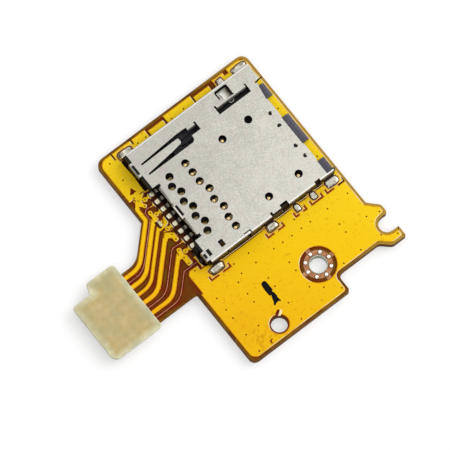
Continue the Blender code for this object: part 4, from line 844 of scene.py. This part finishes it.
class SOCKET_OT_stage(bpy.types.Operator):
    """Pale floor, soft lamps and the camera at the photograph's angle."""
    bl_idname = "card_socket.stage"
    bl_label = "Stage"

    def execute(self, context):
        stage = context.scene.socket_stage
        scene = context.scene
        scene.view_settings.view_transform = "Standard"

        made, tree, shader = new_finish("pale floor", Roughness=0.9, Specular_IOR_Level=0.1,
                                        Emission_Color=(1, 1, 1, 1))
        # The camera sees part of the floor's white as a glow, so that the object's shadow stays light
        seen = add(tree, "ShaderNodeLightPath").outputs["Is Camera Ray"]
        glow = add(tree, "ShaderNodeMath", (seen, FLOOR_GLOW), operation="MULTIPLY")
        white = add(tree, "ShaderNodeMix", {"Factor": seen, "A": rgba("#F7F7F6"), "B": rgba("#CBCBCB")},
                    data_type="RGBA")
        join(tree, shader, {"Base Color": white, "Emission Strength": glow})
        corners = np.array([(-1, -1, 0), (1, -1, 0), (1, 1, 0), (-1, 1, 0)]) * FLOOR_REACH - (0, 0, 0.02 * MM)
        mesh = bpy.data.meshes.new("floor")
        mesh.from_pydata(corners.tolist(), [], [(0, 1, 2, 3)])
        mesh.materials.append(made)
        floor = bpy.data.objects.new("floor", mesh)
        context.collection.objects.link(floor)

        # A studio that is bright overhead and towards the lamps, and dim behind the camera
        world = bpy.data.worlds.new("soft studio")
        world.use_nodes = True
        scene.world = world
        sky = world.node_tree
        sky.nodes.clear()
        way = add(sky, "ShaderNodeTexCoord").outputs["Generated"]
        height = add(sky, "ShaderNodeVectorMath", (way, SKY_WAY), operation="DOT_PRODUCT").outputs["Value"]
        glow = add(sky, "ShaderNodeMapRange", (height, -0.02, 0.86, 0.08, 1.0),
                   interpolation_type="SMOOTHSTEP")
        rays = add(sky, "ShaderNodeLightPath").outputs
        mirrored = add(sky, "ShaderNodeMath", (rays["Is Glossy Ray"], rays["Is Transmission Ray"]),
                       operation="MAXIMUM")
        level = add(sky, "ShaderNodeMapRange", (mirrored, 0, 1, stage.sky, 1))
        strength = add(sky, "ShaderNodeMath", (glow, level), operation="MULTIPLY")
        strength = add(sky, "ShaderNodeMath", (strength, rays["Is Camera Ray"]), operation="MAXIMUM")
        back = add(sky, "ShaderNodeBackground", {"Color": (1, 1, 1, 1), "Strength": strength})
        add(sky, "ShaderNodeOutputWorld", {"Surface": back})

        for name, light in (("key", stage.key), ("fill", stage.fill)):
            place, width = LAMPS[name]
            data = bpy.data.lights.new(name, "AREA")
            data.shape = "DISK"
            data.size = width
            # Head on, a disk gives its power over pi times the distance squared, and where that comes
            # to pi, a white surface renders as 1
            data.energy = light * (math.pi * Vector(place).length) ** 2
            lamp = bpy.data.objects.new(name, data)
            lamp.location = place
            lamp.rotation_euler = (-Vector(place)).to_track_quat("-Z", "Y").to_euler()
            context.collection.objects.link(lamp)

        target = Vector((VIEW_CENTRE[0] * MM, VIEW_CENTRE[1] * MM, COVER_TOP))
        flat = math.cos(stage.elevation)
        back = Vector((math.sin(stage.azimuth) * flat, -math.cos(stage.azimuth) * flat,
                       math.sin(stage.elevation)))
        camera = bpy.data.objects.new("camera", bpy.data.cameras.new("camera"))
        camera.data.lens = camera.data.sensor_width * stage.distance / stage.view_width
        camera.location = target + back * stage.distance
        camera.rotation_euler = (-back).to_track_quat("-Z", "Y").to_euler()
        context.collection.objects.link(camera)
        scene.camera = camera
        return {"FINISHED"}


def slope_profile(width, rise=0.0):
    """Section of the cover film where it comes down over a copper edge, as (reach, level) pairs."""
    low, high = FILM_TOP + 0.002 * MM, COPPER_TOP + (0.004 + rise) * MM
    return [(-width, high), (-0.3 * width, high - 0.002 * MM), (0.05 * width, (low + high) / 2),
            (0.12 * width, low), (-width, low)]


def band(inner, outer, low, high):
    """Rectangular section of a layer that runs along a path, as (reach, level) pairs."""
    return [(inner, high), (outer, high), (outer, low), (inner, low)]


class SOCKET_OT_board(bpy.types.Operator):
    """Film, backing and copper of the board, the slopes of the cover film and the bare margin."""
    bl_idname = "card_socket.board"
    bl_label = "Board"

    def execute(self, context):
        board = context.scene.socket_board
        give(film_finish("bare polyimide film", board.bare_film, "#702400", 1.8), "flex_film")
        give(film_finish("phenolic backing sheet", "#86601A", "#5C3408", 1.6, 0.5), "board_backing")
        yellow = ["ground_copper", "pad_1", "pad_6", *(name for name in TRACKS if name not in FINE_TRACKS)]
        give(copper_finish(board), *yellow)
        give(film_finish("fine copper under film", "#FFCDA6", "#F0AC88", 0.5), *FINE_TRACKS)
        edges = [path for name in yellow for path in outlines(name)]
        fine = [path for name in FINE_TRACKS for path in outlines(name)]

        # The cover film slopes down over every copper edge: an amber line round the yellow
        slopes = [carried(path, slope_profile(board.shoulder)) for path in edges]
        add_piece("film_slopes", slopes, film_finish("film over a copper edge", "#D88A0E", "#B86408", 0.4),
                  sharp=60)

        # Adhesive squeezed out beside the copper stains the film red. Each band lies a hair higher than
        # the last, in rounds of nine, so that bands that cross don't share a plane
        skirts = []
        for number, path in enumerate(edges + fine):
            top = FILM_TOP + (0.003 + 0.0003 * (number % 9)) * MM
            skirts.append(carried(path, band(0, board.skirt, top - 0.004 * MM, top)))
        # It also laps over the edges of the fine tracks, so that only their middle shines through
        top = COPPER_TOP + 0.002 * MM
        lap = [(-0.03 * MM, top), (0.01 * MM, top), (0.02 * MM, FILM_TOP), (-0.03 * MM, FILM_TOP)]
        skirts += [carried(path, lap) for path in fine]
        add_piece("film_adhesive", skirts, film_finish("adhesive under the film", "#7C2600", "#601600", 0.5),
                  sharp=60)

        # The narrow brackets cut out of the copper, which have little area for their length, are filled
        # with adhesive; the larger openings are not
        fills = []
        for path in outlines("ground_copper"):
            after = np.roll(path, -1, axis=0)
            area = abs((path[:, 0] * after[:, 1] - path[:, 1] * after[:, 0]).sum()) / 2
            if area < 0.12 * MM * np.linalg.norm(after - path, axis=1).sum():
                fills.append(flat_mark(path, FILM_TOP, COPPER_TOP - 0.006 * MM))
        add_piece("film_brackets", fills, film_finish("red adhesive in a bracket", "#962C00", "#7A2200", 0.3))

        # Where a copper edge faces the lamps, the film's slope gets a painted highlight, a cream line
        top = COPPER_TOP + 0.006 * MM
        beads = [bead for path in outlines("ground_copper")
                 for bead in lit_lines(path, TO_LIGHT, 0.06 * MM, -0.04 * MM, FILM_TOP, top)]
        add_piece("film_beads", beads, film_finish("lit slope of the film", "#FFF3D0", "#F6DE9A", 0.4, 0.3),
                  sharp=60)

        # Bare margin along the cut edge, where the film lies on laminate alone; it pales towards the mouth
        outer = max(outlines("flex_film"), key=lambda path: np.ptp(path[:, 0]))
        margin = band(-board.margin_width, -0.004 * MM, FILM_TOP - 0.02 * MM, FILM_TOP + 0.007 * MM)
        amber = film_finish("film margin", board.margin, "#5A2C04", 2.4, turning=(2, 8.8, "#B89238"))
        add_piece("bare_margin", [carried(outer, margin)], amber, sharp=60)
        return {"FINISHED"}


class SOCKET_OT_branches(bpy.types.Operator):
    """Short copper stretches and round pads between the contact row and the tracks."""
    bl_idname = "card_socket.branches"
    bl_label = "Copper branches"

    def execute(self, context):
        board = context.scene.socket_board
        shapes = [np.array(shape) for shape in BRANCHES]
        shapes += [flared(spot, 0.24) for spot in VIA_PADS] + [flared(spot, 0.05) for spot in FLARES]
        pads, slopes, skirts, beads = [], [], [], []
        # Each shape lies a hair higher than the last, so that no two faces lie in one plane
        for number, path in enumerate(shapes):
            path = path * MM
            rise = 0.0035 + 0.0004 * number
            pads.append(flat_mark(path, FILM_TOP, COPPER_TOP + (0.004 + rise) * MM))
            slopes.append(carried(path, slope_profile(0.8 * board.shoulder, rise + 0.0008)))
            skirt_top = COPPER_TOP + (0.0042 + 0.0001 * number) * MM
            skirts.append(carried(path, band(0, 0.09 * MM, FILM_TOP, skirt_top)))
            bead_top = COPPER_TOP + (0.007 + rise) * MM
            beads += lit_lines(path, TO_LIGHT, 0.05 * MM, -0.02 * MM, FILM_TOP, bead_top)
        # Highest of all, so that no slope or adhesive shows where the copper runs on
        for start, end, width in BRIDGES:
            path = capsule(np.array(start) * MM, np.array(end) * MM, width * MM)
            pads.append(flat_mark(path, FILM_TOP, COPPER_TOP + 0.016 * MM))
        add_piece("branch_copper", pads, bpy.data.materials["copper under cover film"])
        for name, layers, finish in (("branch_slopes", slopes, "film over a copper edge"),
                                     ("branch_adhesive", skirts, "adhesive under the film"),
                                     ("branch_beads", beads, "lit slope of the film")):
            add_piece(name, layers, bpy.data.materials[finish], sharp=60)
        return {"FINISHED"}


def via_dots(spots, radius, level):
    """Filled vias: shallow dishes with a soft rim."""
    dish = [(0, 0.003 * MM), (0.5 * radius, 0.004 * MM), (radius, 0.003 * MM), (1.1 * radius, -0.004 * MM),
            (0, -0.004 * MM)]
    return [turned((x * MM, y * MM, level), dish, 12) for x, y in spots]


class SOCKET_OT_marks(bpy.types.Operator):
    """Vias, the pointer beside pin one, the ink stroke and the slit by the hole."""
    bl_idname = "card_socket.marks"
    bl_label = "Marks on the board"

    def execute(self, context):
        board = context.scene.socket_board
        level = COPPER_TOP + 0.001 * MM
        brown = film_finish("dark via fill", "#7A4A02", "#5E3602", 0.3)
        dots = via_dots(VIA_DOTS, board.dot / 2, level)
        dots += via_dots(BRANCH_DOTS, 0.45 * board.dot, level + 0.009 * MM)
        add_piece("via_dots", dots, brown)

        # Openings in the copper that show the brown film
        window = film_finish("window in the copper", "#7A2600", "#641A00", 0.3)
        low, high = COPPER_TOP + 0.0005 * MM, COPPER_TOP + 0.005 * MM
        shapes = [np.array(shape) * MM for shape in (POINTER, NICK, SLIT_DARK)]
        add_piece("copper_windows", [flat_mark(shape, low, high) for shape in shapes], window)
        # A painted highlight, a cream sliver, on the slit's far side
        pale = [flat_mark(np.array(SLIT_PALE) * MM, low, high + 0.001 * MM)]
        add_piece("slit_bead", pale, bpy.data.materials["lit slope of the film"])
        ink = plain_finish("marker ink", "#060505", "#0E0C0B", 0.2, (0.45, 0.6), Specular_IOR_Level=0.1)
        stroke = flat_mark(np.array(PEN) * MM, low, high + 0.001 * MM)
        add_piece("ink_stroke", [stroke], ink)
        return {"FINISHED"}


class SOCKET_OT_screw_pad(bpy.types.Operator):
    """Bare copper ring round the screw hole, with eight plated vias and the plated barrel."""
    bl_idname = "card_socket.screw_pad"
    bl_label = "Screw pad"

    def execute(self, context):
        give(plain_finish("bare copper", "#9A5A34", "#C49066", 0.35, (0.3, 0.45), 0.6, 0.004), "screw_pad")
        # A plated via stands up as a collar round a small dimple, in a thin stain of flux
        collar = np.array([(0, 0.020), (0.04, 0.022), (0.09, 0.045), (0.15, 0.042), (0.185, 0.012),
                           (0.19, -0.004), (0, -0.004)]) * MM
        stain = np.array([(0, 0.003), (0.12, 0.003), (0.235, 0.0025), (0.24, -0.004), (0, -0.004)]) * MM
        angle = np.arange(8) * np.pi / 4
        spots = (np.array(SCREW) + SCREW_VIAS_OUT * np.stack([np.cos(angle), np.sin(angle)], -1)) * MM
        tin = plain_finish("tinned via", "#EFE9DC", "#FFFDF6", 0.1, (0.18, 0.3), 0.6)
        dark = film_finish("flux round a via", "#6A3416", "#4A200A", 0.2)
        for name, profile, finish, slot in (("screw_pad_vias", collar, tin, "solder"),
                                            ("screw_pad_rims", stain, dark, "film")):
            add_piece(name, [turned((x, y, COPPER_TOP), profile, 20) for x, y in spots], finish)
        # Plating of the hole's wall, turned out over its top edge
        t = np.linspace(0, 2 * np.pi, 64, endpoint=False)
        ring = (np.array(SCREW) + SCREW_HOLE * np.stack([np.cos(t), np.sin(t)], -1)) * MM
        barrel = band(-0.075 * MM, 0.004 * MM, 0.02 * MM, COPPER_TOP + 0.003 * MM)
        lining = plain_finish("tinned barrel", "#A9AC9C", "#C9CBBB", 0.3, (0.3, 0.45), 0.6,
                              Specular_IOR_Level=0.3)
        add_piece("screw_barrel", [carried(ring, barrel)], lining)
        return {"FINISHED"}


class SOCKET_OT_tail(bpy.types.Operator):
    """Stiffener plate on the tail's end and the plug under it."""
    bl_idname = "card_socket.tail"
    bl_label = "Tail and plug"

    def execute(self, context):
        edge = plain_finish("cut glass epoxy edge", "#CFD0A8", "#E6E3C6", 0.3, (0.5, 0.6),
                            Specular_IOR_Level=0.3)
        worked_copy("tail_stiffener", 0.05 * MM, plate_finish(), edge)
        ivory = plain_finish("ivory liquid crystal polymer", "#DCD3BC", "#EAE3D0", 0.4, (0.4, 0.5))
        worked_copy("plug_housing", 0.03 * MM, ivory, ivory)
        give(plain_finish("gold flash", "#D8B25C", "#E8CB84", 0.3, (0.2, 0.3), 1.0), *PLUG_LEADS)
        return {"FINISHED"}


def pressed_lip(start, end):
    """The sheet's edge pressed down over the contact row, from start to end along y. Its section is a
    quarter ellipse from the top to the underside, and each end is set in by 0.05 mm and tapers to
    0.3 of the reach."""
    root = LIP_ROOT * MM
    turn = np.linspace(0, np.pi / 2, 9)
    section = np.stack([root - LIP_REACH * MM * np.sin(turn),
                        COVER_TOP - LIP_DROP * MM * (1 - np.cos(turn))], -1)
    section = np.concatenate([section, [(root, COVER_TOP - LIP_DROP * MM)]])
    count = len(section)
    x = root + (section[:, 0] - root) * np.array([0.3, 1, 1, 0.3])[:, None]
    y = np.broadcast_to(np.array([start, start + 0.05, end - 0.05, end])[:, None] * MM, x.shape)
    points = np.stack([x, y, np.broadcast_to(section[:, 1], x.shape)], -1).reshape(-1, 3)
    ring = np.arange(count)
    return points, [quads(4, count), ring[None, :], (ring + 3 * count)[None, ::-1]]


def bent_tab():
    """The tab over the lock slot, bent and closed underneath.

    With u and v from 0 to 1 along and across it, x and y are the bilinear mean of its corners, and z
    rises by 0.07 mm times the sine of a quarter turn times u and falls by 0.06 mm times the sixth
    power of u, so that the far end faces away from the light.
    """
    corners = np.array(TAB) * MM
    u, v = np.meshgrid(np.linspace(0, 1, 15), np.linspace(0, 1, 7))
    shares = ((1 - u) * (1 - v), (1 - u) * v, u * v, u * (1 - v))
    flat = sum(share[..., None] * corner for share, corner in zip(shares, corners))
    height = COVER_TOP + (0.07 * np.sin(0.5 * np.pi * u) - 0.06 * u ** 6) * MM
    points = np.concatenate([np.concatenate([flat, level[..., None]], -1).reshape(-1, 3)
                             for level in (height, np.full_like(height, COVER_TOP - 0.004 * MM))])
    rows, columns = u.shape
    grid = np.arange(rows * columns).reshape(rows, columns)
    rim = np.concatenate([grid[0], grid[1:, -1], grid[-1, -2::-1], grid[-2:0:-1, 0]])
    onward = np.roll(rim, -1)
    sheet = quads(rows, columns, False, False)
    sides = np.stack([rim, onward, onward + grid.size, rim + grid.size], -1)
    return points, [sheet, sheet[:, ::-1] + grid.size, sides]


class SOCKET_OT_cover(bpy.types.Operator):
    """The stamped steel cover, its pressed and bent edges, the plated tips under its holes, and painted light
    and shade on its tab, a flap's edge and the mouth's corner.
    """
    bl_idname = "card_socket.cover"
    bl_label = "Cover"

    def execute(self, context):
        cover = context.scene.socket_cover
        steel = steel_finish(cover)
        worked_copy("socket_shell", cover.edge_round, steel, sheared_finish())
        lips = [pressed_lip(*ends) for ends in LIPS]
        add_piece("cover_rear_lips", lips, steel, sharp=50)
        # Painted highlight: a white line laid along the middle flap's sheared edge
        bright = film_finish("painted highlight on the flap's edge", "#FFFFFF", "#F4F0EA", 0.3, 0.3, 0.5)
        edge = ribbon(np.array(FLAP_HIGHLIGHT) * MM, np.full(3, 0.085 * MM),
                      COVER_TOP - 0.05 * MM, COVER_TOP + 0.003 * MM)
        add_piece("cover_flap_highlight", [edge], bright)
        add_piece("latch_tab", [bent_tab()], painted_tab_finish(), sharp=50)
        # Painted shade: a black stroke on the cover for the gap at the mouth's corner
        black = film_finish("painted shade at the mouth's corner", "#0C0A08", "#060504", 0.3, 0.5)
        gap = ribbon(np.array(CORNER_SHADE) * MM, np.array([0.09, 0.15, 0.10]) * MM,
                     COVER_TOP - 0.01 * MM, COVER_TOP + 0.002 * MM)
        add_piece("corner_painted_shade", [gap], black)

        # Plated tips just under the front row of round holes and three of the lone ones, beside each
        # middle. A round hole has more corners than a window and is under 0.9 mm wide
        middles = [path.mean(axis=0) for path in outlines("socket_shell")
                   if len(path) > 12 and np.ptp(path[:, 0]) < 0.9 * MM]
        tip = np.array([(0, 0.03), (0.09, 0.02), (0.15, -0.02), (0.15, -0.08), (0, -0.08)]) * MM
        tips = [turned((x - 0.10 * MM, y - 0.08 * MM, COVER_TOP - 0.20 * MM), tip, 20) for x, y in middles
                if x > -3.5 * MM and not (x > 3 * MM and y > 0)]
        gilt = plain_finish("plated pin", "#D8B070", "#F4DCA8", 0.12, (0.25, 0.4), 0.4)
        add_piece("hole_pins", tips, gilt)
        return {"FINISHED"}


class SOCKET_OT_housing(bpy.types.Operator):
    """The moulded housing and the ejector slider."""
    bl_idname = "card_socket.housing"
    bl_label = "Housing and slider"

    def execute(self, context):
        moulding = context.scene.socket_moulding
        black = housing_finish(moulding)
        worked_copy("socket_base", 0.025 * MM, black, black)
        grey = plain_finish("grey liquid crystal polymer", "#1E1C21", "#2A282E", 0.3, (0.4, 0.55),
                            Specular_IOR_Level=0.2)
        worked_copy("ejector_slider", 0.02 * MM, grey, grey, "ejector")
        return {"FINISHED"}


def waving_edge(x, start, end, count, *waves):
    """Points along y whose x is the given one plus, for each wave, its height times the sine of its
    rate times y."""
    y = np.linspace(start, end, count)
    return np.stack([x + sum(height * np.sin(rate * y) for height, rate in waves), y], -1)


class SOCKET_OT_contacts(bpy.types.Operator):
    """Spring contacts, the card switch, their solder, the flux left round them, and painted shade and shadow
    by the row, the switch and the rear wall.
    """
    bl_idname = "card_socket.contacts"
    bl_label = "Contacts"

    def execute(self, context):
        give(contact_finish(), *CONTACTS)
        # Painted shade: the switch's spring and stop are coloured nearly black
        give(plain_finish("switch terminal in painted shade", "#140C06", "#2A1A0C", 0.2, (0.3, 0.5)),
             "detect_spring", "detect_stop")
        heaps = []
        for index in range(len(CONTACTS)):
            x, y = TAIL_FIRST[0] - 0.01 * index, TAIL_FIRST[1] - TAIL_PITCH * index
            heaps.append(mound((x * MM, y * MM, COPPER_TOP), (0.24 * MM, 0.25 * MM), 0.11 * MM,
                               power=7, seed=index * 1.3, rings=8, sides=28))
        # A dab of solder on the middle track
        heaps.append(mound((-8.56 * MM, -0.38 * MM, COPPER_TOP), (0.17 * MM, 0.32 * MM), 0.10 * MM, seed=2.2))
        wetted = plain_finish("thin solder over gold", "#E8D9A0", "#FBF1C6", 0.16, (0.3, 0.45), 0.35)
        add_piece("tail_solder", heaps, wetted)

        # Flux that boiled out of the row and dried brown, with a ragged rim; its colour turns nearly black
        # towards the housing, a painted shade. The dark sheet beside the solder dab and the nearly black
        # sheets by the switch and beside the rear wall are painted shadow
        row = np.concatenate([waving_edge(-7.93, 2.75, -4.12, 60, (-0.05, 3.1), (0.04, 7)),
                              [(-6.50, -4.12), (-6.50, 2.75)]])
        wall = np.concatenate([waving_edge(-7.74, 6.62, 2.95, 30, (-0.04, 2.3)),
                               [(-7.30, 2.95), (-7.30, 6.62)]])
        dried = film_finish("dried flux with painted shade", "#5A2408", "#2C1004", 0.35, 0.3, turning=(-7.45, -7.0, "#080403"))
        shadow_sheet = film_finish("painted shadow sheet", "#260C04", "#0C0402", 0.3, 0.3)
        for name, finish, stains in (("flux_residue_and_shade", dried, ((row, 0.006), (DAB_SHADOW, 0.03))),
                                     ("painted_shadow_sheets", shadow_sheet, ((SWITCH_SHADOW, 0.007), (wall, 0.008)))):
            layers = [flat_mark(np.array(outline) * MM, FILM_TOP, COPPER_TOP + top * MM)
                      for outline, top in stains]
            add_piece(name, layers, finish)
        # The housing's black peg at the switch, beside the cover's rear corner
        peg = mound((-7.50 * MM, -4.60 * MM, SEAT_Z), (0.36 * MM, 0.44 * MM), 0.75 * MM,
                    power=5, seed=0.6, sides=36)
        black = bpy.data.materials["black liquid crystal polymer"]
        add_piece("switch_peg", [peg], black)
        return {"FINISHED"}


class SOCKET_OT_solder(bpy.types.Operator):
    """Solder joints at the feet of the cover, their flux rims, and the lines beside its low wall, with a
    painted highlight and a painted shadow among them.
    """
    bl_idname = "card_socket.solder"
    bl_label = "Solder joints"

    def execute(self, context):
        solder = context.scene.socket_solder
        # Tin solder, melted and set: bright and mirror-like, cream where flux stayed on it and grey
        # where it set slowly, with a slight ripple
        tin = plain_finish("bright tin solder", "#7E7A6E", "#F6EFDC", 0.55, (0.16, 0.32), 1.0, 0.004)
        rims, rings = [], []
        for number, (name, (side, covers)) in enumerate(COVER_JOINTS.items()):
            low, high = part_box(name)
            half = ((high.x - low.x) / 2, (high.y - low.y) / 2)
            centre = ((low.x + high.x) / 2, (low.y + high.y) / 2, SEAT_Z - 0.008 * MM)
            height, climb = (solder.height, solder.climb) if covers else (0.10 * MM, 0.05 * MM)
            heap = mound(centre, half, height, side, climb, 4.5, number * 1.7, 16, 56)
            piece = add_piece(name + "_joint", [heap], tin)
            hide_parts(name)
            for layers, grow, top in ((rims, solder.rim, 0.0085), (rings, 2.3 * solder.rim, 0.0065)):
                _, rim = footprint(half, number * 1.7, 56, grow)
                layers.append(flat_mark(rim + centre[:2], COPPER_TOP - 0.003 * MM, COPPER_TOP + top * MM))
        flux = film_finish("flux round a joint", "#4A2008", "#2A1004", 0.3, 0.3)
        add_piece("joint_rims", rims, flux)
        lifted = film_finish("film lifted by heat", "#F2C666", "#E2A548", 0.4, 0.3)
        add_piece("joint_rings", rings, lifted)

        # The lines beside the low wall run from one joint to the next, tapering to each end
        joints = sorted([corner.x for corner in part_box(name)]
                        for name, (side, _) in COVER_JOINTS.items() if side < 0)
        gaps = [(left[1] + 0.12 * MM, right[0] - 0.12 * MM) for left, right in zip(joints, joints[1:])]
        low, high = COPPER_TOP + 0.0005 * MM, COPPER_TOP + 0.004 * MM
        for name, (y, width, finish) in WALL_LINES.items():
            strips = [ribbon(np.array([(a, y * MM), ((a + b) / 2, y * MM), (b, y * MM)]),
                             np.array([0.6, 1, 0.6]) * width * MM, low, high) for a, b in gaps]
            add_piece(name, strips, bpy.data.materials[finish])
        return {"FINISHED"}


class SOCKET_OT_ejector(bpy.types.Operator):
    """Cam wire, lock leaf and coil spring of the ejector."""
    bl_idname = "card_socket.ejector"
    bl_label = "Ejector"

    def execute(self, context):
        drawn = plain_finish("drawn spring steel", "#A9A7A3", "#CFCDC8", 0.2, (0.22, 0.34), 1.0)
        give(drawn, "card_lock_leaf", "cam_pin")
        low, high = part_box("ejector_spring")
        wire = 0.13 * MM
        radius = (high.z - low.z - wire) / 2
        centre = ((low.y + high.y) / 2, (low.z + high.z) / 2)
        ends = (low.x + wire / 2, high.x - wire / 2)
        turns = coil(*ends, centre, radius, wire, 10)
        spring = add_piece("coil_spring", [turns], drawn, sharp=60)
        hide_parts("ejector_spring")
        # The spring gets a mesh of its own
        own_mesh(spring)
        return {"FINISHED"}


OPERATORS = (
    SOCKET_OT_stage, SOCKET_OT_board, SOCKET_OT_branches, SOCKET_OT_marks, SOCKET_OT_screw_pad,
    SOCKET_OT_tail, SOCKET_OT_cover, SOCKET_OT_housing, SOCKET_OT_contacts, SOCKET_OT_solder,
    SOCKET_OT_ejector,
)


class SOCKET_PT_panel(bpy.types.Panel):
    """Lists the pieces of the card socket and their settings."""
    bl_idname = "SOCKET_PT_panel"
    bl_label = "Card socket"
    bl_space_type = "VIEW_3D"
    bl_region_type = "UI"
    bl_category = "Card socket"

    def draw(self, context):
        for operator in OPERATORS:
            self.layout.operator(operator.bl_idname)
        for name, group in SETTINGS.items():
            box = self.layout.box()
            for key in group.__annotations__:
                box.prop(getattr(context.scene, name), key)


def register():
    """Register settings, operators and panel."""
    for group in SETTINGS.values():
        bpy.utils.register_class(group)
    for name, group in SETTINGS.items():
        setattr(bpy.types.Scene, name, bpy.props.PointerProperty(type=group))
    for kind in (*OPERATORS, SOCKET_PT_panel):
        bpy.utils.register_class(kind)


def unregister():
    """Take everything back out."""
    for kind in (SOCKET_PT_panel, *OPERATORS[::-1]):
        bpy.utils.unregister_class(kind)
    for name, group in SETTINGS.items():
        delattr(bpy.types.Scene, name)
        bpy.utils.unregister_class(group)


def main():
    """Build every group of pieces."""
    register()
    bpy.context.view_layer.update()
    for operator in OPERATORS:
        group, name = operator.bl_idname.split(".")
        getattr(getattr(bpy.ops, group), name)()


if __name__ == "__main__":
    main()
